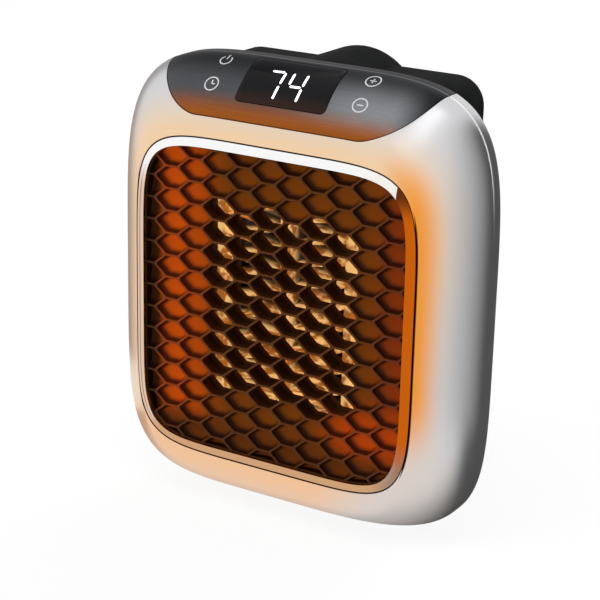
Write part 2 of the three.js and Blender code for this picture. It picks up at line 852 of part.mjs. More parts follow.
// One twisted fan vane as a skin over sections from the hub to the tip
function vane(turn) {
  const rootRadius = hubRadius - hubWall / 2;
  const tipRadius = fanBoreRadius - vaneTipGap;
  const middle = hubFront + hubDepth / 2;
  const rings = Array.from({ length: vaneSectionCount }, (_, i) => {
    const share = i / (vaneSectionCount - 1);
    const radius = rootRadius + (tipRadius - rootRadius) * share;
    const chord = vaneRootChord + (vaneTipChord - vaneRootChord) * share;
    const pitch = vaneRootAngle + (vaneTipAngle - vaneRootAngle) * share;
    const camber = chord * vaneCamberShare;
    const half = vaneThickness / 2;
    const section = [
      [-chord / 2, -half],
      [0, camber - half],
      [chord / 2, -half],
      [chord / 2, half],
      [0, camber + half],
      [-chord / 2, half],
    ];
    return section.map(([along, off]) => {
      const depth = middle + along * Math.sin(pitch) + off * Math.cos(pitch);
      const angle = turn + (along * Math.cos(pitch) - off * Math.sin(pitch)) / radius;
      return new THREE.Vector3(radius * Math.cos(angle), depth, radius * Math.sin(angle));
    });
  });
  return solid(loft(rings));
}

function fanImpeller() {
  const hubBack = hubFront + hubDepth;
  const boreFront = hubFront + hubWall;
  const bore = solid(rod(shaftRadius + fitGap, boreFront, hubBack + cutOverrun, 0, 0, smallSides));
  const hub = solid(rod(hubRadius, hubFront, hubBack))
    .subtract(solid(rod(hubRadius - hubWall, hubFront + hubWall, hubBack + cutOverrun)))
    .add(solid(rod(hubCoreRadius, hubFront, hubBack, 0, 0, smallSides)))
    .subtract(bore);
  const vanes = Array.from({ length: vaneCount }, (_, i) => vane((2 * Math.PI * i) / vaneCount));
  const inside = solid(rod(hubRadius - hubWall / 2, hubFront - cutOverrun, hubBack + cutOverrun));
  return wasm.Manifold.union(vanes).subtract(inside).add(hub);
}

// Ring of the cover's box at one depth, drawn in by an inset
function coverRing(depth, inset) {
  const corner = Math.max(coverCorner - inset, coverWall);
  const side = coverHalfWidth - inset - corner;
  const high = coverTop - inset - corner;
  const low = coverBottom + inset + corner;
  const middles = [[side, low], [side, high], [-side, high], [-side, low]];
  return middles.flatMap(([across, up], i) => (
    Array.from({ length: coverCornerCount + 1 }, (_, j) => {
      const turn = (Math.PI / 2) * (i - 1 + j / coverCornerCount);
      return new THREE.Vector3(
        across + corner * Math.cos(turn),
        depth,
        up + corner * Math.sin(turn),
      );
    })
  ));
}

// Everything at one stretch of depths
function depthSlab(front, back) {
  const up = shellAbove + shellCentreRise + bossRadius;
  return solid(block(-shellHalfWidth, front, -shellBelow, shellHalfWidth, back, up));
}

// The cover's box with its round-edged back and the plug's boss, both full
function coverForm() {
  const edgeRings = Array.from({ length: coverEdgeCount + 1 }, (_, i) => {
    const turn = (Math.PI / 2) * (i / coverEdgeCount);
    const depth = coverBackDepth - coverEdge * (1 - Math.sin(turn));
    return coverRing(depth, coverEdge * (1 - Math.cos(turn)));
  });
  const bossProfile = [
    [0, plateFront],
    [bossRadius, plateFront],
    [bossRadius, bossBack - bossEdge],
    [bossRadius - bossEdge, bossBack],
    [0, bossBack],
  ];
  const boss = turned(bossProfile).translate(0, 0, plugAxisHeight);
  return solid(loft([coverRing(plateFront, 0), ...edgeRings])).add(solid(boss));
}

// The room inside the cover, open to the front
function coverCavity() {
  const front = plateFront - cutOverrun;
  const room = solid(loft([coverRing(front, coverWall), coverRing(coverInnerBack, coverWall)]));
  return room.add(solid(rod(bossRadius - bossWall, front, bossInnerBack, 0, plugAxisHeight)));
}

function rearCover() {
  const form = coverForm();
  const rimPlug = bulge(shellWall + fitGap, plateFront, shellDepth + fitGap);
  const inside = form.intersect(depthSlab(plateFront, coverBackDepth - coverWall / 2));
  let body = rimPlug
    .intersect(depthSlab(plateFront, plateBack))
    .add(form.intersect(rimPlug))
    .add(form.intersect(depthSlab(shellDepth + fitGap, wallPlane)))
    .subtract(coverCavity())
    .subtract(solid(rod(turretRadius + fitGap, plateFront, wallPlane, 0, plugAxisHeight)))
    .subtract(intakeSlots())
    .subtract(switchOpening());
  for (const { place, front, holeBack } of coverPosts()) {
    const column = solid(rod(postRadius, front, coverBackDepth, ...place, smallSides));
    const hole = solid(rod(screwHoleRadius, front - cutOverrun, holeBack, ...place, smallSides));
    body = body.add(column.intersect(inside)).subtract(hole);
  }
  for (const side of [-1, 1]) {
    const place = [side * boardScrewAcross, powerBoardMiddle];
    const top = powerBoardLow - fitGap;
    const stand = pillar(postRadius, coverBottom + coverWall / 2, top, ...place);
    const hole = pillar(screwHoleRadius, powerBoardTop - boardScrewLength, top + cutOverrun, ...place);
    body = body.add(solid(stand)).subtract(solid(hole));
  }
  for (const [side, end] of quarterSigns) {
    const place = coverScrewPlace(side, end);
    const [front, back] = [plateFront - cutOverrun, plateBack + cutOverrun];
    body = body.subtract(solid(rod(screwHoleRadius, front, back, ...place, smallSides)));
  }
  return body;
}

// Posts that carry the fan and the plug's retainer, with how far their screw holes go
function coverPosts() {
  const fanPosts = fanCorners().map(([across, up]) => ({
    place: [across, fanAxisHeight + up],
    front: fanBack + fitGap,
    holeBack: fanBack + fitGap + fanScrewLength,
  }));
  const retainerPosts = [-1, 1].map((side) => ({
    place: [side * retainerScrewAcross, plugAxisHeight],
    front: retainerBack + fitGap,
    holeBack: retainerFront + retainerScrewLength + fitGap,
  }));
  return [...fanPosts, ...retainerPosts];
}

// Slots for the air: two halves a row across the back, and a column down each side
function intakeSlots() {
  const slots = [];
  const slot = (side, inner, end, front, back, up) => {
    const [left, right] = [side * inner, side * end].sort((a, b) => a - b);
    const low = fanAxisHeight + up - slotHeight / 2;
    slots.push(solid(block(left, front, low, right, back, low + slotHeight)));
  };
  const rowReach = Math.floor((slotFieldRadius - slotPitch / 2) / slotPitch);
  const sideInner = coverHalfWidth - coverWall - cutOverrun;
  const sideFront = (shellDepth + coverInnerBack - sideSlotLength) / 2;
  for (const side of [-1, 1]) {
    for (let row = -rowReach; row <= rowReach; row += 1) {
      const up = row * slotPitch;
      const reach = Math.sqrt(slotFieldRadius ** 2 - up ** 2);
      slot(side, slotRib / 2, reach, coverInnerBack - cutOverrun, coverBackDepth + cutOverrun, up);
    }
    for (let i = 0; i < sideSlotCount; i += 1) {
      const up = (i - (sideSlotCount - 1) / 2) * slotPitch;
      slot(side, sideInner, coverHalfWidth + cutOverrun, sideFront, sideFront + sideSlotLength, up);
    }
  }
  return wasm.Manifold.union(slots);
}

function switchOpening() {
  const halfWidth = switchBodyWidth / 2 + fitGap;
  const halfHeight = switchBodyHeight / 2 + fitGap;
  const left = -coverHalfWidth - cutOverrun;
  const right = -coverHalfWidth + coverWall + cutOverrun;
  const [front, back] = [switchDepth - halfWidth, switchDepth + halfWidth];
  return solid(block(left, front, switchUp - halfHeight, right, back, switchUp + halfHeight));
}

function plugTurret() {
  const flangeBack = turretInner + turretFlange;
  const profile = [
    [0, turretInner],
    [turretFlangeRadius, turretInner],
    [turretFlangeRadius, flangeBack],
    [turretRadius, flangeBack],
    [turretRadius, wallPlane - turretEdge],
    [turretRadius - turretEdge, wallPlane],
    [0, wallPlane],
  ];
  const slot = (across, width) => {
    const [halfAcross, halfUp] = [prongThickness / 2 + fitGap, width / 2 + fitGap];
    const [front, back] = [turretInner - cutOverrun, wallPlane + cutOverrun];
    return solid(block(across - halfAcross, front, -halfUp, across + halfAcross, back, halfUp));
  };
  return solid(turned(profile))
    .subtract(slot(-prongSpacing / 2, prongLiveWidth))
    .subtract(slot(prongSpacing / 2, prongNeutralWidth));
}

// Flat prong with a tapered tip and a round hole
function prong(width) {
  const half = width / 2;
  const tip = wallPlane + prongReach;
  const shape = outline(
    [turretInner, -half],
    [tip - prongTaper, -half],
    [tip, prongTaper - half],
    [tip, half - prongTaper],
    [tip - prongTaper, half],
    [turretInner, half],
  );
  shape.holes.push(disc(tip - prongHoleFromTip, 0, prongHoleRadius));
  return prismAcross(shape, -prongThickness / 2, prongThickness / 2);
}

// Flat contact ring with a tab over the end of its prong
function contactRing(outerRadius, innerRadius, tabLeft, tabRight) {
  const back = turretInner - fitGap;
  const front = back - ringThickness;
  const tab = solid(block(tabLeft, front, -ringTabHalf, tabRight, back, ringTabHalf));
  return solid(rod(outerRadius, front, back))
    .subtract(solid(rod(innerRadius, front - cutOverrun, back + cutOverrun)))
    .add(tab);
}

// Bent strip from the retainer to a contact ring
function brush(contact, anchor) {
  const back = retainerFront - fitGap;
  const front = back - brushFoil;
  const foot = turretInner - 2 * fitGap - ringThickness;
  const bend = contact + Math.sign(anchor - contact) * brushFoot;
  const strip = outline(
    [front, contact],
    [foot, contact],
    [foot, bend],
    [back, bend],
    [back, anchor],
    [front, anchor],
  );
  return solid(prismAcross(strip, -brushWidth / 2, brushWidth / 2));
}

function turretRetainer() {
  const reach = retainerScrewAcross + retainerEar;
  const ears = roundedBox(-reach, -retainerEar, reach, retainerEar, retainerEar);
  const [front, back] = [retainerFront - cutOverrun, retainerBack + cutOverrun];
  let body = solid(rod(turretFlangeRadius, retainerFront, retainerBack))
    .add(solid(prismInDepth(ears, retainerFront, retainerBack)))
    .subtract(solid(rod(retainerInner, front, back)));
  for (const side of [-1, 1]) {
    const across = side * retainerScrewAcross;
    body = body.subtract(solid(rod(screwHoleRadius, front, back, across, 0, smallSides)));
  }
  return body;
}

function powerBoard() {
  const [across, along] = [powerBoardHalfWidth, powerBoardLength / 2];
  const shape = roundedBox(-across, -along, across, along, boardThickness);
  for (const side of [-1, 1]) {
    shape.holes.push(disc(side * boardScrewAcross, 0, screwHoleRadius));
  }
  return prism(shape, boardThickness);
}

function switchBody() {
  const form = (left, right, width, height) => (
    solid(block(left, -width / 2, -height / 2, right, width / 2, height / 2))
  );
  const pocketEnd = switchPocketDepth - switchFlange;
  return form(-switchFlange, 0, switchFlangeWidth, switchFlangeHeight)
    .add(form(-switchFlange, switchBodyDepth, switchBodyWidth, switchBodyHeight))
    .subtract(form(-switchFlange - cutOverrun, pocketEnd, switchPocketWidth, switchPocketHeight));
}

// Rocker seen along its pivot: a dished face outwards and a keel inwards
function switchRocker() {
  const shape = outline(
    [-rockerDip, 0],
    [-rockerRise, -rockerHalfHeight],
    [rockerSkirt, -rockerHalfHeight],
    [rockerKeel, 0],
    [rockerSkirt, rockerHalfHeight],
    [-rockerRise, rockerHalfHeight],
  );
  const half = switchPocketWidth / 2 - fitGap;
  return prismInDepth(shape, -half, half);
}

// Round-headed screw along +Y from the underside of its head
function screw(length) {
  return turned([
    [0, -screwHeadHeight],
    [screwHeadRadius - screwHeadEdge, -screwHeadHeight],
    [screwHeadRadius, 0],
    [screwShankRadius, 0],
    [screwShankRadius, length],
    [0, length],
  ], screwSides);
}

// Insulated lead along a smooth route
function lead(points, radius = leadRadius) {
  const stops = points.map((point) => new THREE.Vector3(...point));
  const extrudePath = new THREE.CatmullRomCurve3(stops, false, 'centripetal');
  const section = Array.from({ length: leadSides }, (_, i) => {
    const turn = (2 * Math.PI * i) / leadSides;
    return [radius * Math.cos(turn), radius * Math.sin(turn)];
  });
  const steps = points.length + leadSpareSteps;
  return new THREE.ExtrudeGeometry(outline(...section), { steps, extrudePath });
}

// Assembly: the frame of the heater hangs from the plug's face
const heater = new THREE.Group();
heater.position.set(0, -wallPlane, -plugAxisHeight);
const fan = new THREE.Group();
fan.position.set(0, 0, fanAxisHeight);
const plug = new THREE.Group();
plug.position.set(0, 0, plugAxisHeight);
heater.add(fan, plug);

function piece(name, shape, finish, parent = heater, place = [0, 0, 0]) {
  const geometry = shape.isBufferGeometry ? shape : surface(shape);
  const mesh = new THREE.Mesh(geometry, new THREE.MeshStandardMaterial(finishes[finish]));
  mesh.name = name;
  mesh.position.set(...place);
  parent.add(mesh);
  return mesh;
}

piece('front_housing', frontHousing(), 'silver');
piece('grille_bezel', grilleBezel(), 'chrome');
piece('front_grille', frontGrille(), 'darkPlastic');
piece('control_panel', controlPanel(), 'graphite');
piece('display_lens', displayLens(), 'blackGloss');
piece('display_module', displayModule(), 'leadWhite');
piece('control_board', controlBoard(), 'circuitGreen');
piece('touch_pad_power', touchPad(-touchAcross, touchUpperRise), 'foam');
piece('touch_pad_timer', touchPad(-touchAcross, touchLowerRise), 'foam');
piece('touch_pad_plus', touchPad(touchAcross, touchUpperRise), 'foam');
piece('touch_pad_minus', touchPad(touchAcross, touchLowerRise), 'foam');

piece('heat_shield', heatShield(), 'aluminium');
for (let i = 0; i < barCount; i += 1) {
  const across = (i - (barCount - 1) / 2) * elementPitch;
  piece(`ptc_bar_${i + 1}`, ptcBar(), 'aluminium', heater, [across, elementMiddle, 0]);
}
for (let i = 0; i <= barCount; i += 1) {
  const across = (i - barCount / 2) * elementPitch;
  piece(`fin_stack_${i + 1}`, finStack(), 'aluminium', heater, [across, elementMiddle, 0]);
}
piece('element_holder_top', elementHolder(1), 'insulator');
piece('element_holder_bottom', elementHolder(-1), 'insulator');
const cutoutPlace = [cutoutAcross, (shieldFront + shieldBack) / 2, shieldTop + fitGap];
piece('thermal_cutout', thermalCutout().rotateX(Math.PI / 2), 'steel', heater, cutoutPlace);

piece('fan_frame', fanFrame(), 'blackPlastic', fan);
piece('fan_motor', fanMotor(), 'steel', fan);
piece('motor_shaft', motorShaft(), 'steel', fan);
piece('fan_impeller', fanImpeller(), 'blackPlastic', fan);
fanCorners().forEach(([across, up], i) => {
  const seat = fanBack - fanFlangeThickness - fitGap;
  piece(`fan_screw_${i + 1}`, screw(fanScrewLength), 'steel', fan, [across, seat, up]);
});

piece('rear_cover', rearCover(), 'blackPlastic');
quarterSigns.forEach(([side, end], i) => {
  const [across, up] = coverScrewPlace(side, end);
  const place = [across, plateBack + fitGap, up];
  piece(`cover_screw_${i + 1}`, screw(coverScrewLength).rotateX(Math.PI), 'steel', heater, place);
});

piece('plug_turret', plugTurret(), 'blackPlastic', plug);
piece('prong_live', prong(prongLiveWidth), 'nickel', plug, [-prongSpacing / 2, 0, 0]);
piece('prong_neutral', prong(prongNeutralWidth), 'nickel', plug, [prongSpacing / 2, 0, 0]);
const liveRing = contactRing(liveRingOuter, liveRingInner, -liveRingInner, -liveTabEnd);
const neutralRing = contactRing(neutralRingOuter, neutralRingInner, neutralRingInner, neutralTabEnd);
const brushAnchor = turretFlangeRadius - fitGap;
const liveContact = (liveRingInner + liveRingOuter - brushFoot) / 2;
const neutralContact = -neutralRingInner - fitGap;
piece('contact_ring_live', liveRing, 'brass', plug);
piece('contact_ring_neutral', neutralRing, 'brass', plug);
piece('turret_retainer', turretRetainer(), 'blackPlastic', plug);
piece('brush_live', brush(liveContact, brushAnchor), 'brass', plug);
piece('brush_neutral', brush(neutralContact, -brushAnchor), 'brass', plug);
[-1, 1].forEach((side, i) => {
  const place = [side * retainerScrewAcross, retainerFront - fitGap, 0];
  piece(`retainer_screw_${i + 1}`, screw(retainerScrewLength), 'steel', plug, place);
});

const [relayX, relayY] = [relayWidth / 2, relayLength / 2];
const relay = block(-relayX, -relayY, 0, relayX, relayY, relayHeight);
const capacitor = pillar(capacitorRadius, 0, capacitorHeight, 0, 0, 2 * smallSides);
const onBoard = (across) => [across, powerBoardMiddle, boardLevel];
piece('power_board', powerBoard(), 'circuitGreen', heater, [0, powerBoardMiddle, powerBoardLow]);
piece('power_relay', relay, 'relayBlue', heater, onBoard(relayAcross));
piece('filter_capacitor', capacitor, 'steel', heater, onBoard(capacitorAcross));
[-1, 1].forEach((side, i) => {
  const shape = screw(boardScrewLength).rotateX(-Math.PI / 2);
  piece(`board_screw_${i + 1}`, shape, 'steel', heater, onBoard(side * boardScrewAcross));
});

const rockerLeft = switchLeft - switchFlange + rockerSink;
const rocker = switchRocker().rotateY(rockerTilt);
piece('switch_body', switchBody(), 'blackPlastic', heater, [switchLeft, switchDepth, switchUp]);
piece('switch_rocker', rocker, 'blackGloss', heater, [rockerLeft, switchDepth, switchUp]);

// Leads inside the cover, each from its terminal to the next by a route chosen by hand
const liveRoute = [
  [0, brushFront, 71],
  [0, 42.5, 71],
  [-9, 40.5, 68],
  [-18, 39.5, 62],
  [-25, 40, 53],
  [-28, 42, 45.5],
  [-30.5, switchDepth, 44.5],
  [switchEnd, switchDepth, 44.5],
];
const switchedRoute = [
  [switchEnd, switchDepth, 37.5],
  [-30.5, switchDepth, 37.5],
  [-24, 42, 28],
  [-21.5, 42, 10],
  [-21.5, 42, -20],
  [-21.5, 41, -40],
  [-22, 40, -49],
  [-22, 40, boardLevel],
];
const neutralRoute = [
  [0, brushFront, 35.9],
  [0, 42.5, 35.9],
  [8, 41.5, 32],
  [17, 42, 24],
  [21.5, 42, 8],
  [21.5, 42, -20],
  [18, 43.5, -38],
  [12, 44.5, -48],
  [12, 44.5, boardLevel],
];
const heaterRoute = (across) => [
  [across, 27.5, boardLevel],
  [across, 27.5, -51],
  [across, 26, -47.5],
  [across, 23.5, heaterLeadHeight],
  [across, shieldBack - shieldSheet, heaterLeadHeight],
];
const fanRoute = [
  [6, motorBack + fitGap, -14],
  [6, 46.6, -14],
  [6, 47.6, -20],
  [6, 47, -40],
  [6, 46.4, -49],
  [6, 46.4, boardLevel],
];
const cableRoute = [
  [33, 30.5, boardLevel],
  [33, 30.5, -50],
  [38.5, 29, -42],
  [38.5, 28, -15],
  [38.5, 28, 20],
  [38.5, 26.5, 44],
  [36, 24, 55],
  [31, 18.31, 59.57],
  [30, 13.36, 64.52],
];
piece('mains_lead_live', lead(liveRoute), 'leadRed');
piece('mains_lead_switched', lead(switchedRoute), 'leadRed');
piece('mains_lead_neutral', lead(neutralRoute), 'leadWhite');
piece('heater_lead_1', lead(heaterRoute(-elementPitch / 2)), 'leadWhite');
piece('heater_lead_2', lead(heaterRoute(elementPitch / 2)), 'leadWhite');
piece('fan_lead', lead(fanRoute), 'leadRed');
piece('control_cable', lead(cableRoute, cableRadius), 'leadWhite');

export default heater;
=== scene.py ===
# %% [markdown]
# # A plug-in fan heater, dressed for a studio picture
#
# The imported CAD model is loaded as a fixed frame. Each cell then makes one piece finer than its CAD
# solid, or gives a solid that stays a better finish, and puts it exactly where the frame says.

# %% Load the frame and note its size
import json
import math

import bmesh
import bpy
import numpy as np
from mathutils import Matrix, Vector
from mathutils.bvhtree import BVHTree


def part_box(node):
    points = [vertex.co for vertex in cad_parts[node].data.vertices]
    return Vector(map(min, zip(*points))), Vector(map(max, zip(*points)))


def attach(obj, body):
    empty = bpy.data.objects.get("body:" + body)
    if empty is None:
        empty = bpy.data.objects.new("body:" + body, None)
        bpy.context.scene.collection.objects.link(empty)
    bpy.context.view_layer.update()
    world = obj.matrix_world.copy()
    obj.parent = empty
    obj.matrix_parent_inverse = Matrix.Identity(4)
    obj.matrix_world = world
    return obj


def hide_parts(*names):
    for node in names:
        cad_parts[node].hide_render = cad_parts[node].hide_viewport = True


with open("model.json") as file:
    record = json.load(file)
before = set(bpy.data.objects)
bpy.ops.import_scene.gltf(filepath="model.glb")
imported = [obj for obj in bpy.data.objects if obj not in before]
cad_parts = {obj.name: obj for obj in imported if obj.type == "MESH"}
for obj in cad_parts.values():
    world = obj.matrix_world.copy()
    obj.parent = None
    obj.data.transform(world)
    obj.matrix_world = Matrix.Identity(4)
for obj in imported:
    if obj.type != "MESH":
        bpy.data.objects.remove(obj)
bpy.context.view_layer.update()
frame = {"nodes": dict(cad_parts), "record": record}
nodes = frame["nodes"]

# %% [markdown]
# ## One way to write places
#
# The heater is easiest to draw in millimetres about the middle of its air outlet: across, depth
# behind the flat face, and height. Two corners of the frame tell where that middle is, so every
# drawn point can be moved to the frame's metres by one small function.

# %% Drawing frame: millimetres about the middle of the outlet
MM = 0.001
bezel_low, bezel_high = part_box("grille_bezel")
housing_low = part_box("front_housing")[0]
outlet_middle = Vector((0, housing_low.y, (bezel_low.z + bezel_high.z) / 2))


def to_frame(points):
    """Points of the drawing, in millimetres, as metres of the frame."""
    return np.asarray(points, float) * MM + np.array(outlet_middle)


print("outlet middle in the frame", [round(v, 4) for v in outlet_middle])

# %% [markdown]
# ## Meshes from rings
#
# A moulded shell is a stack of sections. A skin over a stack of closed rings makes the housing, the
# bezel, the rear box and the cutters alike, and a stack that comes back to its first ring makes a
# frame with a hole in it. Cuts and joints between solids use the exact MANIFOLD solver, which keeps
# closed forms closed.

# %% Helpers that turn rings into meshes
def new_piece(name, points, faces):
    """A mesh object from drawing points and faces, with its place in its mesh."""
    mesh = bpy.data.meshes.new(name)
    mesh.from_pydata(to_frame(points).tolist(), [], faces)
    mesh.update()
    piece = bpy.data.objects.new(name, mesh)
    bpy.context.scene.collection.objects.link(piece)
    return piece


def skin(name, rings, closed=False):
    """A skin over rings that run from the front to the back, capped unless it is closed."""
    count = len(rings[0])
    faces = []
    last = len(rings) if closed else len(rings) - 1
    for i in range(last):
        start, after = i * count, ((i + 1) % len(rings)) * count
        for j in range(count):
            k = (j + 1) % count
            faces.append([start + j, after + j, after + k, start + k])
    if not closed:
        faces.append(list(range(count)))
        end = (len(rings) - 1) * count
        faces.append([end + j for j in reversed(range(count))])
    return new_piece(name, np.concatenate(rings), faces)


def lathe(name, profile, middle=(0, 0, 0), sides=96):
    """A solid turned about the depth axis from (radius, depth) points, both ends on the axis."""
    turn = np.arange(sides) * 2 * math.pi / sides
    points = [[0, profile[0][1], 0]]
    for radius, depth in profile[1:-1]:
        ring = [radius * np.cos(turn), np.full(sides, depth), radius * np.sin(turn)]
        points += np.stack(ring, 1).tolist()
    points.append([0, profile[-1][1], 0])
    rows = len(profile) - 2
    faces = []
    for j in range(sides):
        k = (j + 1) % sides
        faces.append([0, 1 + j, 1 + k])
        for i in range(rows - 1):
            a, b = 1 + i * sides, 1 + (i + 1) * sides
            faces.append([a + j, b + j, b + k, a + k])
        end = 1 + (rows - 1) * sides
        faces.append([len(points) - 1, end + k, end + j])
    return outward(new_piece(name, np.array(points) + np.array(middle), faces))


def rod(name, radius, front, back, across, up, sides=32):
    """A plain rod along the depth axis, for posts, holes and round rooms."""
    return lathe(name, [(0, front), (radius, front), (radius, back), (0, back)], (across, 0, up), sides)


# %% Helpers that change a mesh
def edited(piece, *steps):
    """Opens a piece's mesh, runs each step on it and writes it back."""
    mesh = bmesh.new()
    mesh.from_mesh(piece.data)
    for step in steps:
        step(mesh)
    mesh.to_mesh(piece.data)
    mesh.free()
    return piece


def weld(distance):
    """A step for edited that joins points closer than a distance in metres."""
    return lambda mesh: bmesh.ops.remove_doubles(mesh, verts=mesh.verts, dist=distance)


def outward(piece):
    """Turns all faces of a closed mesh outwards."""
    return edited(piece, lambda mesh: bmesh.ops.recalc_face_normals(mesh, faces=mesh.faces))


def merged(piece, near=0.001 * MM):
    """Joins points that lie almost on each other, so that cuts leave no faces without area."""
    slivers_out = lambda mesh: bmesh.ops.dissolve_degenerate(mesh, edges=mesh.edges, dist=near)
    return edited(piece, weld(near), slivers_out)


def bake(piece):
    """Applies the live modifiers of a piece to its mesh."""
    view = bpy.context.evaluated_depsgraph_get()
    mesh = bpy.data.meshes.new_from_object(piece.evaluated_get(view))
    piece.modifiers.clear()
    piece.data = mesh
    return piece


def combine(piece, tool, operation="DIFFERENCE"):
    """Cuts, joins or meets a piece with a tool, which is then thrown away."""
    change = piece.modifiers.new("combine", "BOOLEAN")
    change.operation = operation
    change.solver = "MANIFOLD"
    change.object = tool
    bake(piece)
    bpy.data.objects.remove(tool)


def thicken(piece, thickness, offset):
    """Gives a sheet a wall of a thickness in millimetres, centred for an offset of 0 and outside for 1."""
    wall = piece.modifiers.new("thickness", "SOLIDIFY")
    wall.thickness = thickness * MM
    wall.offset = offset
    return bake(piece)


def shade(piece, degrees):
    """Smooth shading that keeps edges sharper than an angle."""
    piece.data.polygons.foreach_set("use_smooth", [True] * len(piece.data.polygons))
    piece.data.set_sharp_from_angle(angle=math.radians(degrees))
    return piece


def soften(piece, width, degrees=40):
    """Rounds the edges of a hard-edged piece by a width in millimetres."""
    edge = piece.modifiers.new("soften", "BEVEL")
    edge.width = width * MM
    edge.segments = 2
    edge.limit_method = "ANGLE"
    edge.angle_limit = math.radians(degrees)
    return shade(bake(piece), degrees)


# %% [markdown]
# ## The curve of the housing
#
# A superellipse gives the soft rectangle of the face and of the rim. From the flat face the sides
# roll softly into a swell along a quarter of a wave, then run straight back as a band. The same few
# numbers drive the housing, the panel and the display window, so the three share one surface.

# %% Soft rectangles
ring_points = 256


def even_turns(count):
    """Angles that space points evenly along a soft rectangle, with the four axis points kept."""
    fine = np.linspace(0, math.pi / 2, 4001)
    line = np.stack([np.cos(fine) ** 0.41, np.sin(fine) ** 0.41], 1)
    length = np.concatenate([[0], np.cumsum(np.hypot(*np.diff(line, axis=0).T))])
    quarter = np.interp(np.linspace(0, length[-1], count // 4 + 1), length, fine)[:-1]
    return np.concatenate([quarter + i * math.pi / 2 for i in range(4)])


turns = even_turns(ring_points)


def oval(half_width, above, below, top_power, low_power, centre, depth):
    """One superellipse ring at a depth."""
    cosine, sine = (np.where(abs(part) < 1e-9, 0, part) for part in (np.cos(turns), np.sin(turns)))
    power = 2 / np.where(sine < 0, low_power, top_power)
    reach = np.where(sine < 0, below, above)
    across = half_width * np.sign(cosine) * abs(cosine) ** power
    up = centre + reach * np.sign(sine) * abs(sine) ** power
    return np.stack([across, np.full(ring_points, float(depth)), up], 1)


print("points of a ring", len(turns))

# %% Sections of the outlet's window
window_half_width, window_half_height, window_mean, window_power = 50, 52.2, 51, 5.9


def window_ring(inset, depth):
    """The outline of the bezel at an inset from its outer edge."""
    power = window_power + 0.9 * inset / 3
    tall = window_half_height - inset
    return oval(window_half_width - inset, tall, tall, power, power, 0, depth)


def window_prism(name, inset, front, back):
    """A solid with the bezel's outline, from one depth to another."""
    return skin(name, [window_ring(inset, front), window_ring(inset, back)])


print("window half-height", window_ring(0, 0)[:, 2].max())

# %% Sections of the housing
bulge_depth, shell_depth, shell_centre, swell_power = 19.7, 24.6, 3.1, 2.2
# Half width, reach above and below the centre, and power of the upper and the lower corners.
face_sizes = np.array([50, 57.6, 64, 4.9, 4.9])
rim_growth = np.array([15.1, 14.8, 6.9, -0.1, 0.4])
soft_depth, soft_reach = 2.2, 4.0


def shell_ring(depth, inset=0.0):
    """The housing's section at a depth, drawn in by an inset, with a soft roll beside the flat face."""
    swell = math.sin(math.acos(max(0.0, 1 - max(depth, 0) / bulge_depth))) ** swell_power
    sizes = list(face_sizes + rim_growth * swell)
    ring = oval(*(size - inset for size in sizes[:3]), *sizes[3:], shell_centre, depth)
    roll = max(0.0, 1 - math.sqrt(max(depth, 0) / soft_depth)) ** 2
    wide, tall = abs(ring[:, 0]) / window_half_width, abs(ring[:, 2]) / window_half_height
    margin = ((wide ** window_power + tall ** window_power) ** (1 / window_power) - 1) * window_mean
    drawn = roll * np.clip(0.5 * margin, 0, soft_reach) / np.hypot(ring[:, 0], ring[:, 2])
    ring[:, [0, 2]] *= 1 - drawn[:, None]
    return ring


print("housing half-width at the rim", shell_ring(bulge_depth)[:, 0].max())

# %% The bulge, and the fine crease along its rim
groove = [
    (19.5, 0.0), (19.66, 0.05), (19.76, 0.16), (19.84, 0.22),
    (19.94, 0.23), (20.06, 0.19), (20.32, 0.04), (20.45, 0.0),
]
groove_begins, groove_full = 18, 46
heights = shell_ring(bulge_depth)[:, 2]
groove_share = np.clip((heights - groove_begins) / (groove_full - groove_begins), 0, 1)


def bulge(name, inset, front, back, rim=0.0, crease=()):
    """The housing's form as a full solid; rim rounds its back edge, and crease draws it in near the top."""
    depths = bulge_depth * (1 - np.cos(np.linspace(0, math.pi / 2, 30)))
    free = [d for d in depths if not crease or d < crease[0][0] - 0.1]
    stations = [(front, 0.0)] + [(d, 0.0) for d in free if front < d < back - rim] + list(crease)
    rings = [shell_ring(d, inset + dip * groove_share) for d, dip in stations]
    for i in range(5 if rim else 1):
        turn = math.pi / 2 * (i / 4 if rim else 1)
        rings.append(shell_ring(back - rim * (1 - math.sin(turn)), inset + rim * (1 - math.cos(turn))))
    return skin(name, rings)


print("deepest crease", max(dip for _, dip in groove))

# %% [markdown]
# ## The slope of the panel
#
# The touch panel covers the top of the bulge where a plane at 45 degrees would cut it. Its outline
# is drawn on that plane, as across and rise, and pushed through the shell as a prism. A thin skin of
# the same bulge then gives a panel that follows the housing exactly.

# %% Outlines drawn on the slope
half_root = math.sqrt(0.5)
slope_foot = 59.5 * math.sin(math.pi / 4)


def on_slope(across, rise, level):
    """A point over the slope, from its place on it and its height above it."""
    along, off = slope_foot + rise, slope_foot + level
    return [across, (along - off) * half_root, (along + off) * half_root]


def slope_prism(name, outline, low=-12, high=12):
    """A prism square to the slope; the outline runs anticlockwise seen from above."""
    count = len(outline)
    points = [on_slope(x, r, low) for x, r in outline] + [on_slope(x, r, high) for x, r in outline]
    faces = [list(reversed(range(count))), list(range(count, 2 * count))]
    for i in range(count):
        j = (i + 1) % count
        faces.append([i, j, count + j, count + i])
    return outward(new_piece(name, points, faces))


def panel_outline(gap):
    """A straight foot, two round lower corners, then sides that run off the back."""
    foot, ear, straight, half = -gap, 22.4, 28.5, 48 + gap
    power = 2 / 1.7
    corner = []
    for turn in np.linspace(0, math.pi / 2, 33):
        across = straight + (half - straight) * math.sin(turn) ** power
        corner.append([across, ear - (ear - foot) * max(math.cos(turn), 0) ** power])
    left = [[-x, r] for x, r in reversed(corner)]
    return corner + [[half, ear + shell_depth], [-half, ear + shell_depth]] + left


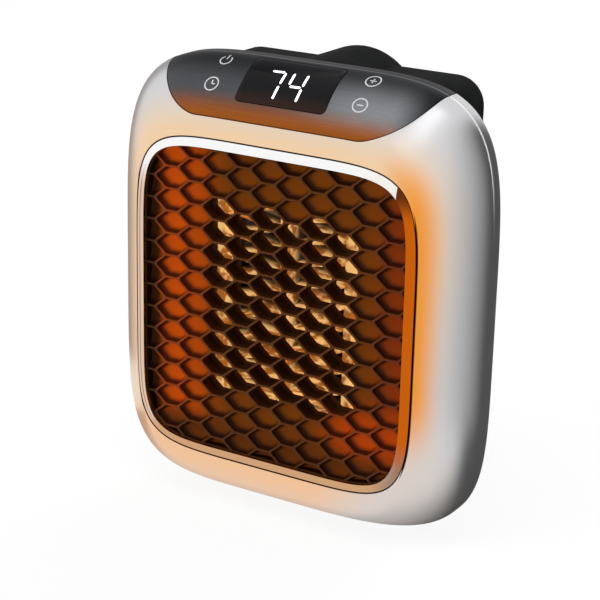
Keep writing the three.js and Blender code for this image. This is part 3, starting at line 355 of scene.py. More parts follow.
def round_outline(x, y, radius):
    """Points round a circle."""
    angles = np.linspace(0, 2 * math.pi, 25)[:-1]
    return [[x + radius * math.cos(a), y + radius * math.sin(a)] for a in angles]


def rounded_outline(left, low, right, high, radius, steps=8):
    """A rectangle with round corners."""
    points = []
    for cx, cy, start in ((right, low, -90), (right, high, 0), (left, high, 90), (left, low, 180)):
        x = cx - radius if cx == right else cx + radius
        y = cy - radius if cy == high else cy + radius
        for angle in np.radians(np.linspace(start, start + 90, steps + 1)):
            points.append([x + radius * math.cos(angle), y + radius * math.sin(angle)])
    return points


def lens_outline(gap):
    """The outline of the display window, grown by a gap."""
    return rounded_outline(-15.7 - gap, 5.8 - gap, 15.7 + gap, 23.4 + gap, 1.5 + gap)


print("panel outline points", len(panel_outline(0)))

# %% [markdown]
# ## Front housing
#
# On the real heater this is one satin silver moulding, about two millimetres thick. It is made as a
# full form less a smaller one, with four screw posts, less the window for the outlet and the notch
# for the panel. Cutting with exact solids keeps the gap round the bezel and the panel the same
# everywhere.

# %% Front housing
screw_across, screw_up, hole_radius = 50, 51, 1.6
screw_places = [(side * screw_across, end * screw_up) for side in (-1, 1) for end in (-1, 1)]
housing = bulge("housing_shell", 0, 0, shell_depth, rim=0.5, crease=groove)
combine(housing, bulge("inside", 2.2, 3.2, shell_depth + 1))
for across, up in screw_places:
    post = rod("post", 3.4, 2.6, 20.3, across, up)
    combine(post, bulge("limit", 1.0, 1.0, shell_depth), "INTERSECT")
    combine(post, rod("hole", hole_radius, 11.3, 26, across, up, 24))
    combine(housing, post, "UNION")
combine(housing, window_prism("window", -0.3, -1, 1.5))
combine(housing, window_prism("window", 1.7, -2, 4.2))
combine(housing, slope_prism("notch", panel_outline(0.3)))
soften(housing, 0.16, 55)
print("housing faces", len(housing.data.polygons))

# %% [markdown]
# ## Control panel and display window
#
# The panel is a graphite skin in the notch with a rectangular hole for the display, and the display
# window is a glossy black skin that lies on a ledge in that hole. Both come from the same bulge, two
# millimetres and about one millimetre thick.

# %% Control panel
panel = bulge("touch_panel", 0.05, 0.05, shell_depth, rim=0.5)
combine(panel, bulge("inside", 2, 2, shell_depth + 1))
combine(panel, slope_prism("outline", panel_outline(-0.04)), "INTERSECT")
recess = slope_prism("recess", lens_outline(0.25))
combine(recess, bulge("ledge_level", 1.3, 1.3, shell_depth + 1))
combine(panel, recess)
combine(panel, slope_prism("hole", lens_outline(-0.55)))
for side in (-1, 1):
    post = slope_prism("post", round_outline(side * 31.8, 13, 1.6), -3.7, 6)
    combine(post, bulge("limit", 1.0, 1.0, shell_depth), "INTERSECT")
    combine(panel, post, "UNION")
soften(panel, 0.12, 50)
print("panel faces", len(panel.data.polygons))

# %% Display window
lens = bulge("display_window", 0.0, 0.0, shell_depth)
combine(lens, bulge("inside", 1.2, 1.2, shell_depth + 1))
combine(lens, slope_prism("outline", lens_outline(-0.02)), "INTERSECT")
soften(lens, 0.1, 50)
print("window faces", len(lens.data.polygons))

# %% [markdown]
# ## Lit digits and touch marks
#
# The marks are printed and the digits shine through the window, so both lie on a curved surface.
# They are drawn flat as across and rise, then each point is dropped square to the slope until it
# meets the panel or the window, and the sheet gets a hair's thickness.

# %% Drop flat marks on the panel
surface = bulge("surface", 0, 0, shell_depth)
ground = BVHTree.FromObject(surface, bpy.context.evaluated_depsgraph_get())
slope_normal = Vector((0, -half_root, half_root))


def drape(name, quads, lift):
    """A thin sheet of (across, rise) quads, laid on the surface."""
    points, faces = [], []
    for quad in quads:
        low = len(points)
        for across, rise in quad:
            start = Vector(to_frame(on_slope(across, rise, 14)))
            hit = ground.ray_cast(start, -slope_normal)[0]
            points.append((np.array(hit) - np.array(outlet_middle)) / MM + np.array(slope_normal) * lift)
        faces.append([low, low + 1, low + 2, low + 3])
    return thicken(edited(new_piece(name, points, faces), weld(0.002 * MM)), 0.03, 1)


def bar(x0, y0, x1, y1, width, pieces=6):
    """A straight bar between two points of the slope, with mitred ends, as a run of quads."""
    run = np.array([x1 - x0, y1 - y0])
    length = np.hypot(*run)
    along = run / length
    side = np.array([-along[1], along[0]]) * width / 2
    tip = width / 2
    stops = [0, tip] + list(np.linspace(tip, length - tip, pieces)[1:-1]) + [length - tip, length]
    spread = [0.25] + [1] * (len(stops) - 2) + [0.25]
    edges = []
    for stop, share in zip(stops, spread):
        middle = np.array([x0, y0]) + along * stop
        edges.append((middle - side * share, middle + side * share))
    return [[here[0], ahead[0], ahead[1], here[1]] for here, ahead in zip(edges[:-1], edges[1:])]


def arc(x, y, radius, width, begin=0, finish=360, steps=40):
    """A ring, or a part of one, as a run of quads."""
    angles = np.radians(np.linspace(begin, finish, steps + 1))
    rays = [np.array([math.cos(angle), math.sin(angle)]) for angle in angles]
    middle, inner, outer = np.array([x, y]), radius - width / 2, radius + width / 2
    return [
        [middle + inner * ray, middle + outer * ray, middle + outer * after, middle + inner * after]
        for ray, after in zip(rays[:-1], rays[1:])
    ]


print("slope normal", tuple(round(v, 3) for v in slope_normal))

# %% The two digits, in strokes like those of a seven-segment display
digit_strokes = [
    (-7.5, 18.0, -3.2, 18.1), (-2.75, 17.9, -2.8, 13.6), (-2.9, 12.8, -3.1, 8.1),
    (0.3, 18.2, 0.35, 13.8), (0.7, 13.2, 4.6, 13.25), (5.1, 18.2, 5.05, 13.8), (5.05, 12.8, 4.95, 8.3),
]
digits = drape("display_digits", [quad for ends in digit_strokes for quad in bar(*ends, 0.8)], 0.03)
print("digit faces", len(digits.data.polygons))

# %% The four touch marks: power, timer, plus and minus
line = 0.42
marks = arc(-25.8, 19.9, 1.9, line, 130, 410) + bar(-25.8, 20.2, -25.8, 22.6, line)
marks += arc(-26.0, 10.2, 2.3, line) + bar(-26.0, 10.2, -26.0, 11.6, line)
marks += bar(-26.0, 10.2, -24.8, 10.2, line)
marks += arc(26.0, 20.2, 2.3, line) + bar(24.9, 20.2, 27.1, 20.2, line) + bar(26.0, 19.1, 26.0, 21.3, line)
marks += arc(26.0, 10.7, 2.3, line) + bar(24.9, 10.7, 27.1, 10.7, line)
touch_marks = drape("touch_marks", marks, 0.01)
bpy.data.objects.remove(surface)
print("mark faces", len(touch_marks.data.polygons))

# %% [markdown]
# ## Chrome bezel
#
# A bright frame with a sloping front and rounded edges sits in the window. Its section is swept
# round the outlet: rings at growing insets, each at its own depth, that come back to the first.

# %% Chrome bezel
section = [
    (0.0, 1.2), (0.0, 0.28), (0.07, 0.12), (0.22, 0.0), (0.5, -0.12), (1.0, -0.3), (1.6, -0.5), (2.2, -0.69),
    (2.6, -0.82), (2.8, -0.87), (2.93, -0.83), (2.99, -0.7), (3.0, -0.5), (3.0, 0.2), (1.4, 0.2), (1.4, 1.2),
]
bezel = outward(skin("outlet_bezel", [window_ring(inset, depth) for inset, depth in section], closed=True))
shade(bezel, 50)
print("bezel faces", len(bezel.data.polygons))

# %% [markdown]
# ## Honeycomb grille
#
# The grille is one dark moulding. Its cells are wide hexagons in columns, every other column half a
# row higher. The outer cells are blind pockets with soft floors, and the ones in the middle go right
# through collars that reach back to the element. A Geometry Nodes tree puts one cutter on each point
# of a staggered grid and takes them all out of the plate, so the pitch, the stagger and the open
# middle stay named inputs.

# %% One cutter for a blind cell and one for an open cell
cell_across, cell_up, cell_flat, cell_rib = 8.85, 7.28, 4.4, 0.7


def unit(way):
    """A direction of length one."""
    return way / np.linalg.norm(way)


def cell_corners(drawn):
    """The six corners of a cell's hexagon, its sides drawn in by a distance."""
    half = [[cell_across - cell_flat / 2, 0], [cell_flat / 2, cell_up / 2], [-cell_flat / 2, cell_up / 2]]
    corners = np.array(half + [[-x, -y] for x, y in half])
    moved = []
    for i, here in enumerate(corners):
        lines = []
        for a, b in ((corners[i - 1], here), (here, corners[(i + 1) % 6])):
            way = unit(b - a)
            inwards = np.array([-way[1], way[0]])
            lines.append((inwards, inwards @ a + drawn))
        moved.append(np.linalg.solve([lines[0][0], lines[1][0]], [lines[0][1], lines[1][1]]))
    return moved


def cell_ring(inset, depth, radius=0.75, steps=3, shift=0.0):
    """A hexagon with round corners, drawn in by an inset and shifted to the upper right."""
    corners = cell_corners(cell_rib / 2 + inset)
    points = []
    for i, here in enumerate(corners):
        ways = [unit(corners[i - 1] - here), unit(corners[(i + 1) % 6] - here)]
        half_angle = math.acos(max(-1, min(1, ways[0] @ ways[1]))) / 2
        centre = here + unit(ways[0] + ways[1]) * radius / math.sin(half_angle)
        ends = [here + way * radius / math.tan(half_angle) - centre for way in ways]
        start, stop = (math.atan2(end[1], end[0]) for end in ends)
        sweep = (stop - start + math.pi) % (2 * math.pi) - math.pi
        for k in range(steps + 1):
            angle = start + sweep * k / steps
            across, up = centre[0] + radius * math.cos(angle), centre[1] + radius * math.sin(angle)
            points.append([across + shift, depth, up + 0.6 * shift])
    return np.array(points)


pocket_section = [
    (-0.16, 0.0, 0), (-0.16, 0.45, 0), (-0.05, 0.6, 0), (0.02, 0.85, 0), (0.1, 1.9, 0),
    (0.35, 2.35, 0.2), (0.75, 2.8, 0.5), (1.2, 3.15, 0.8), (1.7, 3.38, 1.05), (2.1, 3.5, 1.2),
]
pocket = outward(skin("pocket", [cell_ring(i, d, shift=s) for i, d, s in pocket_section]))
passage_section = [(-0.16, 0.0), (-0.16, 0.45), (-0.05, 0.6), (0.02, 0.85), (0.06, 3.2), (0.06, 9.0)]
passage = outward(skin("passage", [cell_ring(i, d) for i, d in passage_section]))
collar_front, collar_back = 3.6, (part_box("front_grille")[1].y - outlet_middle.y) / MM
collar = outward(skin("collar", [cell_ring(-cell_rib, d, 0.1, 1) for d in (collar_front, collar_back)]))
print("cutter faces", len(pocket.data.polygons), len(passage.data.polygons), "collars to", collar_back)

# %% [markdown]
# ## Node trees written as sums
#
# Node trees are built in code, so that every number keeps its name. Here a wire stands for one output
# of a node. Adding, multiplying or comparing wires puts a Math node into the same tree, so a chain of
# nodes reads as one line of arithmetic.

# %% Wires, and nodes that take them
class Wire:
    """One output of a node; sums with it add Math nodes to its tree."""

    def __init__(self, socket):
        self.socket = socket

    def __add__(self, other):
        return maths("ADD", self, other)

    def __sub__(self, other):
        return maths("SUBTRACT", self, other)

    def __rsub__(self, other):
        return maths("SUBTRACT", other, self)

    def __mul__(self, other):
        return maths("MULTIPLY", self, other)

    def __truediv__(self, other):
        return maths("DIVIDE", self, other)

    def __pow__(self, other):
        return maths("POWER", self, other)

    def __mod__(self, other):
        return maths("MODULO", self, other)

    def __lt__(self, other):
        return maths("LESS_THAN", self, other)

    def __abs__(self):
        return maths("ABSOLUTE", self)


def feed(node, inputs):
    """Sets a node's inputs, or links the wires among them; a list of wires goes into one input."""
    for key, value in inputs.items():
        for one in value if isinstance(value, list) else [value]:
            if isinstance(one, Wire):
                node.id_data.links.new(one.socket, node.inputs[key])
            else:
                node.inputs[key].default_value = one


def add_node(tree, kind, inputs=None, **settings):
    """Adds a node, with its settings and its inputs."""
    node = tree.nodes.new(kind)
    for key, value in settings.items():
        setattr(node, key, value)
    feed(node, inputs or {})
    return node


def wire(tree, kind, inputs=None, out=0, **settings):
    """Adds a node and returns the wire from one of its outputs."""
    return Wire(add_node(tree, kind, inputs, **settings).outputs[out])


def tree_of(*values):
    """The tree of the first wire among some values."""
    return next(value.socket.id_data for value in values if isinstance(value, Wire))


def maths(operation, *values):
    """One Math node; its values are wires or numbers."""
    return wire(tree_of(*values), "ShaderNodeMath", dict(enumerate(values)), operation=operation)


def vector(**parts):
    """A vector of the parts given as X, Y or Z; the others are nought."""
    return wire(tree_of(*parts.values()), "ShaderNodeCombineXYZ", parts)


def vector_sum(first, second):
    """The sum of two vectors."""
    return wire(tree_of(first, second), "ShaderNodeVectorMath", {0: first, 1: second}, operation="ADD")


def split(whole):
    """The X, Y and Z of a vector, as three wires."""
    return [Wire(socket) for socket in add_node(tree_of(whole), "ShaderNodeSeparateXYZ", {0: whole}).outputs]


def incoming(tree):
    """A function that gives the wire of any named input of a tree."""
    entry = tree.nodes.new("NodeGroupInput")
    return lambda label: Wire(entry.outputs[label])


# %% The frame of a Geometry Nodes tree
def node_tree(name, **kinds):
    """A Geometry Nodes tree with named inputs of some kinds, and the function that gives their wires."""
    tree = bpy.data.node_groups.new(name, "GeometryNodeTree")
    for direction in ("INPUT", "OUTPUT"):
        tree.interface.new_socket(name="Geometry", in_out=direction, socket_type="NodeSocketGeometry")
    for kind, labels in kinds.items():
        for label in labels:
            tree.interface.new_socket(name=label, in_out="INPUT", socket_type="NodeSocket" + kind)
    return tree, incoming(tree)


def solids(tree, operation, **meshes):
    """One exact boolean of solids; Mesh_1 is the piece and Mesh_2 holds its tools."""
    inputs = {label.replace("_", " "): mesh for label, mesh in meshes.items()}
    return wire(tree, "GeometryNodeMeshBoolean", inputs, operation=operation, solver="MANIFOLD")


def end_tree(tree, given, geometry):
    """Makes instances real, sets the finish and puts the result out."""
    real = wire(tree, "GeometryNodeRealizeInstances", {"Geometry": geometry})
    dressed = wire(tree, "GeometryNodeSetMaterial", {"Geometry": real, "Material": given("Finish")})
    add_node(tree, "NodeGroupOutput", {0: dressed})
    print(tree.name, "nodes", len(tree.nodes))


def grow(name, tree, values, start=None):
    """Runs a tree on a piece, or on an empty mesh, and returns a plain mesh object."""
    piece = start or new_piece(name, np.zeros((0, 3)), [])
    run = piece.modifiers.new(name, "NODES")
    run.node_group = tree
    sockets = {item.name: item.identifier for item in tree.interface.items_tree if item.in_out == "INPUT"}
    for label, value in values.items():
        run[sockets[label]] = value
    return bake(piece)


# %% Materials that the trees set at their end
def blank_material(name):
    """A material with nodes, which gets its look in a later cell."""
    material = bpy.data.materials.new(name)
    material.use_nodes = True
    return material


grille_finish, foil_finish, screw_finish, cover_finish = (
    blank_material(name) for name in ("grille_dark", "element_aluminium", "screw_steel", "black_plastic")
)
print("materials", len(bpy.data.materials))

# %% The honeycomb tree
tree, given = node_tree(
    "honeycomb", Float=["Column pitch", "Row pitch", "Open half width", "Open half height"],
    Int=["Columns", "Rows"], Vector=["Grid middle"], Object=["Pocket", "Passage", "Collar", "Field"],
    Material=["Finish"],
)
grid = wire(tree, "GeometryNodeMeshGrid", {
    "Size X": given("Column pitch") * (given("Columns") - 1), "Vertices X": given("Columns"),
    "Size Y": given("Row pitch") * (given("Rows") - 1), "Vertices Y": given("Rows"),
})
across, up = split(wire(tree, "GeometryNodeInputPosition"))[:2]
odd = abs(maths("ROUND", across / given("Column pitch")) % 2)
staggered = vector(X=across, Z=up + odd * (given("Row pitch") * 0.5))
centred = vector_sum(staggered, given("Grid middle"))
placed = wire(tree, "GeometryNodeSetPosition", {"Geometry": grid, "Position": centred})
across, _, up = split(wire(tree, "GeometryNodeInputPosition"))
is_open = (abs(across) < given("Open half width")) * (abs(up) < given("Open half height"))
copies = {}
for label, chosen in (("Pocket", 1 - is_open), ("Passage", is_open), ("Collar", is_open)):
    tool = wire(tree, "GeometryNodeObjectInfo", {"Object": given(label)}, out="Geometry")
    inputs = {"Points": placed, "Selection": chosen, "Instance": tool}
    copies[label] = wire(tree, "GeometryNodeInstanceOnPoints", inputs)
joined = wire(tree, "GeometryNodeJoinGeometry", {0: [copies["Pocket"], copies["Passage"]]})
thicker = solids(tree, "UNION", Mesh_2=[given("Geometry"), copies["Collar"]])
cells = wire(tree, "GeometryNodeRealizeInstances", {"Geometry": joined})
field = wire(tree, "GeometryNodeObjectInfo", {"Object": given("Field")}, out="Geometry")
kept = solids(tree, "INTERSECT", Mesh_2=[cells, field])
end_tree(tree, given, solids(tree, "DIFFERENCE", Mesh_1=thicker, Mesh_2=kept))
honeycomb = tree

# %% Grow the grille
# The grille grows about the outlet's middle, where the grid is centred, and is then set back.
plate = window_prism("outlet_grille", 2.0, 0.5, 3.8)
combine(plate, window_prism("flange", -0.2, 3.5, 5.0), "UNION")
field_solid = window_prism("field", 3.2, 0, 12)
for part in (plate, pocket, passage, collar, field_solid):
    part.data.transform(Matrix.Translation(-outlet_middle))
grille = grow("outlet_grille", honeycomb, {
    "Column pitch": cell_across * MM, "Row pitch": cell_up * MM, "Columns": 13, "Rows": 17,
    "Grid middle": [-1.7 * MM, 0.0, 1.1 * MM], "Open half width": 27 * MM, "Open half height": 31 * MM,
    "Pocket": pocket, "Passage": passage, "Collar": collar, "Field": field_solid, "Finish": grille_finish,
}, plate)
grille.data.transform(Matrix.Translation(outlet_middle))
for tool in (pocket, passage, collar, field_solid):
    bpy.data.objects.remove(tool)
shade(grille, 40)
print("grille faces", len(grille.data.polygons))

# %% [markdown]
# ## Folded fins of the heating element
#
# Between the ceramic bars stand four columns of thin aluminium foil, folded to and fro so that the
# air takes their heat. The tree bends a line of points into flattened waves, draws it out in depth
# and copies it to each column. The foil gets its thickness afterwards.

# %% The tree of the folded foil
tree, given = node_tree(
    "folded_fins", Float=["Stack width", "Stack height", "Fold pitch", "Foil depth", "Stack pitch"],
    Int=["Stacks", "Points"], Vector=["Middle"], Material=["Finish"],
)
low = given("Stack height") * -0.5
step = given("Stack height") / (given("Points") - 1)
strip = wire(tree, "GeometryNodeMeshLine", {
    "Count": given("Points"), "Start Location": vector(Z=low), "Offset": vector(Z=step),
})
height = split(wire(tree, "GeometryNodeInputPosition"))[2]
wave = maths("PINGPONG", height - low, given("Fold pitch")) / given("Fold pitch") - 0.5
flattened = maths("MAXIMUM", maths("MINIMUM", wave * 1.16, 0.5), -0.5)
bend = vector(X=flattened * given("Stack width"))
folded = wire(tree, "GeometryNodeSetPosition", {"Geometry": strip, "Offset": bend})
back = {"Mesh": folded, "Offset": vector(Y=given("Foil depth")), "Offset Scale": 1.0}
drawn = wire(tree, "GeometryNodeExtrudeMesh", back, mode="EDGES")
reach = given("Stack pitch") * (given("Stacks") - 1)
stations = wire(tree, "GeometryNodeMeshLine", {
    "Count": given("Stacks"), "Start Location": vector_sum(vector(X=reach * -0.5), given("Middle")),
    "Offset": vector(X=given("Stack pitch")),
})
end_tree(tree, given, wire(tree, "GeometryNodeInstanceOnPoints", {"Points": stations, "Instance": drawn}))

# %% Grow the fins
fin_low, fin_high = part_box("fin_stack_1")
next_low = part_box("fin_stack_2")[0]
foil, folds = 0.25, 24
stack_height = fin_high.z - fin_low.z - 2 * foil * MM
fins = grow("folded_fins", tree, {
    "Stack width": fin_high.x - fin_low.x - 2 * foil * MM, "Stack height": stack_height,
    "Fold pitch": stack_height / folds, "Foil depth": fin_high.y - fin_low.y,
    "Stack pitch": next_low.x - fin_low.x, "Stacks": 4, "Points": folds * 8 + 1,
    "Middle": [0.0, fin_low.y, (fin_low.z + fin_high.z) / 2], "Finish": foil_finish,
})
shade(outward(thicken(fins, foil, 0)), 40)
print("fin faces", len(fins.data.polygons))

# %% [markdown]
# ## Rear cover
#
# The black cover is a plate inside the housing's rim with a round-cornered box behind it. The round
# boss for the plug stands up through the top of the box. The full form comes first, then the room
# inside, and last the posts, the vents and the opening for the switch.

# %% Form of the rear cover
plug_up = 53.4
plate_front, plate_back, cover_back = 20.6, 22.8, 52.9
box_half_width, box_low, box_high, box_corner = 44.9, -60, 71.2, 9.2
quarter = [math.pi / 2 * i / 6 for i in range(7)]


def block(name, low, high):
    """A box between two corners of the drawing, used as a cutter."""
    (x0, y0, z0), (x1, y1, z1) = low, high
    rings = [np.array([[x0, y, z0], [x1, y, z0], [x1, y, z1], [x0, y, z1]]) for y in (y0, y1)]
    return outward(skin(name, rings))


def cover_ring(depth, inset):
    """The outline of the box at a depth, drawn in by an inset."""
    corner, half = max(box_corner - inset, 2), box_half_width - inset
    outline = rounded_outline(-half, box_low + inset, half, box_high - inset, corner, 10)
    return np.array([[x, depth, z] for x, z in outline])


rounding = [(cover_back - 3 * (1 - math.sin(t)), 3 * (1 - math.cos(t))) for t in quarter]
cover = skin("rear_case", [cover_ring(plate_front, 0)] + [cover_ring(*ring) for ring in rounding])
boss = [(0, plate_front), (21.9, plate_front)]
boss += [(20.7 + 1.2 * math.cos(t), 53.8 + 1.2 * math.sin(t)) for t in quarter] + [(0, 55)]
combine(cover, lathe("boss", boss, (0, 0, plug_up), 128), "UNION")
inner_limit = bulge("rim_room", 2.5, plate_front, 24.9)
combine(inner_limit, block("behind", (-70, 24.88, -75), (70, 57, 80)), "UNION")
combine(cover, inner_limit, "INTERSECT")
combine(cover, bulge("plate", 2.5, plate_front, plate_back), "UNION")
room = skin("room", [cover_ring(19.6, 2), cover_ring(50.9, 2)])
combine(room, rod("boss_room", 20.1, 19.6, 53, 0, plug_up, 128), "UNION")
combine(cover, room)
combine(cover, rod("plug_hole", 17.5, plate_front, 56.5, 0, plug_up, 128))
print("cover faces", len(cover.data.polygons))

# %% Posts, screw holes and the opening for the switch
fan_up, fan_screw, plug_screw, post_radius = -8.0, 29, 27, 3.2
posts = [(sx * fan_screw, fan_up + sz * fan_screw, 32.9, 41.2) for sx in (-1, 1) for sz in (-1, 1)]
posts += [(side * plug_screw, plug_up, 48.3, 51.6) for side in (-1, 1)]
for across, up, front, hole_back in posts:
    combine(cover, rod("post", post_radius, front, 51.9, across, up, 24), "UNION")
    combine(cover, rod("hole", hole_radius, front - 1, hole_back, across, up, 16))
for across, up in screw_places:
    combine(cover, rod("hole", hole_radius, plate_front - 1, plate_back + 1, across, up, 24))
switch_depth, switch_up, half_depth, half_height = 42, 41, 4.3, 6.6
opening_low = (-46, switch_depth - half_depth, switch_up - half_height)
opening_high = (-42, switch_depth + half_depth, switch_up + half_height)
combine(cover, block("opening", opening_low, opening_high))
print("cover faces", len(cover.data.polygons))

# %% [markdown]
# ## Air vents
#
# The fan draws its air through a round field of slots in the back, each as long as the circle is
# wide at its height, with a rib down the middle, and through a row of short slots on each side. The
# 38 slots could be cut one by one. The tree puts a stretched block on each point of a column and cuts
# them all out in one go, so their number and spacing stay inputs.

# %% The tree of the air vents
tree, given = node_tree(
    "air_vents", Int=["Rows", "Side rows"], Vector=["Back middle", "Side middle"], Material=["Finish"],
    Float=[
        "Row pitch", "Slot height", "Field radius", "Middle rib", "Cut depth", "Side length", "Side reach",
    ],
)


def column_of_points(count):
    """Points one above another about the origin."""
    start = vector(Z=given("Row pitch") * (count - 1) * -0.5)
    inputs = {"Count": count, "Start Location": start, "Offset": vector(Z=given("Row pitch"))}
    return wire(tree, "GeometryNodeMeshLine", inputs)


def slots_at(points, across, length, depth, middle):
    """One block on each point, moved across and stretched to its length."""
    shift = vector_sum(vector(X=across), middle)
    moved = wire(tree, "GeometryNodeSetPosition", {"Geometry": points, "Offset": shift})
    size = vector(X=length, Y=depth, Z=given("Slot height"))
    cube = wire(tree, "GeometryNodeMeshCube", {"Size": (1, 1, 1)})
    return wire(tree, "GeometryNodeInstanceOnPoints", {"Points": moved, "Instance": cube, "Scale": size})


slots = []
for side in (-1.0, 1.0):
    height = split(wire(tree, "GeometryNodeInputPosition"))[2]
    length = maths("SQRT", given("Field radius") ** 2.0 - height ** 2.0) - given("Middle rib")
    across = (given("Middle rib") + length * 0.5) * side
    row = wire(tree, "GeometryNodeStoreNamedAttribute", {
        "Geometry": column_of_points(given("Rows")), "Name": "slot", "Value": vector(X=across, Y=length),
    }, domain="POINT", data_type="FLOAT_VECTOR")
    told = wire(tree, "GeometryNodeInputNamedAttribute", {"Name": "slot"}, data_type="FLOAT_VECTOR")
    across, length = split(told)[:2]
    slots.append(slots_at(row, across, length, given("Cut depth"), given("Back middle")))
    column, outside = column_of_points(given("Side rows")), given("Side reach") * side
    slots.append(slots_at(column, outside, given("Cut depth"), given("Side length"), given("Side middle")))
joined = wire(tree, "GeometryNodeJoinGeometry", {0: slots})
real = wire(tree, "GeometryNodeRealizeInstances", {"Geometry": joined})
end_tree(tree, given, solids(tree, "DIFFERENCE", Mesh_1=given("Geometry"), Mesh_2=real))

# %% Cut the vents, and stand the power board's two posts inside
cover = grow("rear_case", tree, {
    "Rows": 11, "Row pitch": 5.6 * MM, "Slot height": 2.4 * MM, "Field radius": 31 * MM,
    "Middle rib": 1.5 * MM, "Cut depth": 4.2 * MM, "Back middle": to_frame([0, 51.9, fan_up]).tolist(),
    "Side rows": 8, "Side length": 18 * MM, "Side reach": 43.9 * MM,
    "Side middle": to_frame([0, 37.75, fan_up]).tolist(), "Finish": cover_finish,
}, cover)
board_low = (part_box("power_board")[0].z - outlet_middle.z) / MM
for side in (-1, 1):
    outline = round_outline(side * 32, 37.4, post_radius)
    rings = [np.array([[x, y, z] for x, y in outline]) for z in (-59, board_low - 0.3)]
    combine(cover, outward(skin("stand", rings)), "UNION")
shade(merged(cover), 32)
print("cover faces", len(cover.data.polygons))

# %% [markdown]
# ## Plug, prongs and switch
#
# The plug is a turned disc that shows its flat face and lets two flat prongs through. Prongs, switch
# and rocker are already right in the CAD, so they are copied, their facets merged into flat faces,
# and their edges rounded a little, as moulded and stamped parts are.

# %% Plug body
profile = [(0, 48.3), (19.4, 48.3), (19.6, 48.5), (19.6, 52.5), (19.4, 52.7), (17.2, 52.7)]
profile += [(16.4 + 0.8 * math.cos(t), 55.7 + 0.8 * math.sin(t)) for t in quarter] + [(0, 56.5)]
plug = lathe("plug_body", profile, (0, 0, plug_up), 128)
for across, blade_width in ((-6.35, 6.3), (6.35, 7.9)):
    wide, tall = 1.5 / 2 + 0.3, blade_width / 2 + 0.3
    combine(plug, block("slot", (across - wide, 47, plug_up - tall), (across + wide, 58, plug_up + tall)))
shade(plug, 32)
print("plug faces", len(plug.data.polygons))


# %% Copies of CAD solids with rounded edges
def rounded_copy(name, node, width):
    """A CAD node's solid with its facets merged and its edges rounded."""
    piece = bpy.data.objects.new(name, nodes[node].data.copy())
    bpy.context.scene.collection.objects.link(piece)
    piece.data.materials.clear()
    edited(piece, weld(1e-7), lambda mesh: bmesh.ops.dissolve_limit(
        mesh, angle_limit=math.radians(1), verts=mesh.verts, edges=mesh.edges,
    ))
    return soften(piece, width)


prong_live = rounded_copy("prong_blade_live", "prong_live", 0.25)
prong_neutral = rounded_copy("prong_blade_neutral", "prong_neutral", 0.25)
switch = rounded_copy("switch_frame", "switch_body", 0.2)
rocker = rounded_copy("switch_key", "switch_rocker", 0.25)
print("prong faces", len(prong_live.data.polygons), "rocker faces", len(rocker.data.polygons))

# %% [markdown]
# ## Cover screws
#
# Four cross-recess screws hold the cover. They could be four copies. Here one screw is made and a
# short tree puts it on four points, so all four are the same and stay one piece.

# %% Cover screws
head = [(0, 24.5), (1.4, 24.48), (2.1, 24.3), (2.45, 24.0), (2.6, 23.6), (2.6, 23.1)]
screw = lathe("cover_screw", head + [(1.3, 23.1), (1.3, 13.9), (0, 13.1)], sides=32)
for half_across, half_up in ((0.3, 1.4), (1.4, 0.3)):
    combine(screw, block("recess", (-half_across, 23.7, -half_up), (half_across, 25, half_up)))
shade(screw, 30)
screw.data.transform(Matrix.Translation(-outlet_middle))
tree, given = node_tree("screw_set", Object=["Screw"], Material=["Finish"])
tool = wire(tree, "GeometryNodeObjectInfo", {"Object": given("Screw")}, out="Geometry")
copies = wire(tree, "GeometryNodeInstanceOnPoints", {"Points": given("Geometry"), "Instance": tool})
end_tree(tree, given, copies)
screw_spots = new_piece("cover_screws", [[across, 0, up] for across, up in screw_places], [])
screws = grow("cover_screws", tree, {"Screw": screw, "Finish": screw_finish}, screw_spots)
bpy.data.objects.remove(screw)
print("screw faces", len(screws.data.polygons))

# %% [markdown]
# ## Shared surface effects
#
# Two shader groups serve all finishes. One gives a fine grain as a roughness and a height. The other
# says how much of the outlet's warm light a spot of the housing catches, from its distance to the
# bezel and its side of it. Both read Object coordinates, so nothing slides when a piece moves.

# %% Helpers for finishes
def place_on_piece(tree):
    """Where the shaded spot lies on the piece, in metres of the frame."""
    return wire(tree, "ShaderNodeTexCoord", out="Object")


def drawn_place(tree):
    """Across, depth and height of the shaded spot about the outlet's middle, in metres."""
    across, depth, up = split(place_on_piece(tree))
    return across, depth - outlet_middle.y, up - outlet_middle.z


def ramp(value, low, high):
    """A soft step from 0 where the value is low to 1 where it is high; low may be the larger number."""
    inputs = {"Value": value, "From Min": low, "From Max": high}
    return wire(tree_of(value), "ShaderNodeMapRange", inputs, interpolation_type="SMOOTHSTEP")


def noise(tree, **inputs):
    """A cloudy pattern that stays fixed to the piece."""
    return wire(tree, "ShaderNodeTexNoise", {"Vector": place_on_piece(tree), **inputs})


def mixed(factor, first, second):
    """A colour between two, each a wire or plain numbers."""
    first, second = (tone if isinstance(tone, Wire) else (*tone, 1) for tone in (first, second))
    inputs = {0: factor, 6: first, 7: second}
    return wire(tree_of(factor, first, second), "ShaderNodeMix", inputs, out=2, data_type="RGBA")


def layered(colour, layers):
    """A colour with others laid over it one by one, each through its own mask."""
    for mask, tone in layers:
        colour = mixed(mask, colour, tone)
    return colour


def shader_group(name, inputs, outputs):
    """A shader group with named numbers in and out: its tree, its incoming wires and its end."""
    tree = bpy.data.node_groups.new(name, "ShaderNodeTree")
    for label, value in inputs.items():
        socket = tree.interface.new_socket(name=label, in_out="INPUT", socket_type="NodeSocketFloat")
        socket.default_value = value
    for label in outputs:
        tree.interface.new_socket(name=label, in_out="OUTPUT", socket_type="NodeSocketFloat")
    return tree, incoming(tree), tree.nodes.new("NodeGroupOutput")


def named_outputs(node):
    """The wires of all outputs of a node, by name."""
    return {socket.name: Wire(socket) for socket in node.outputs}


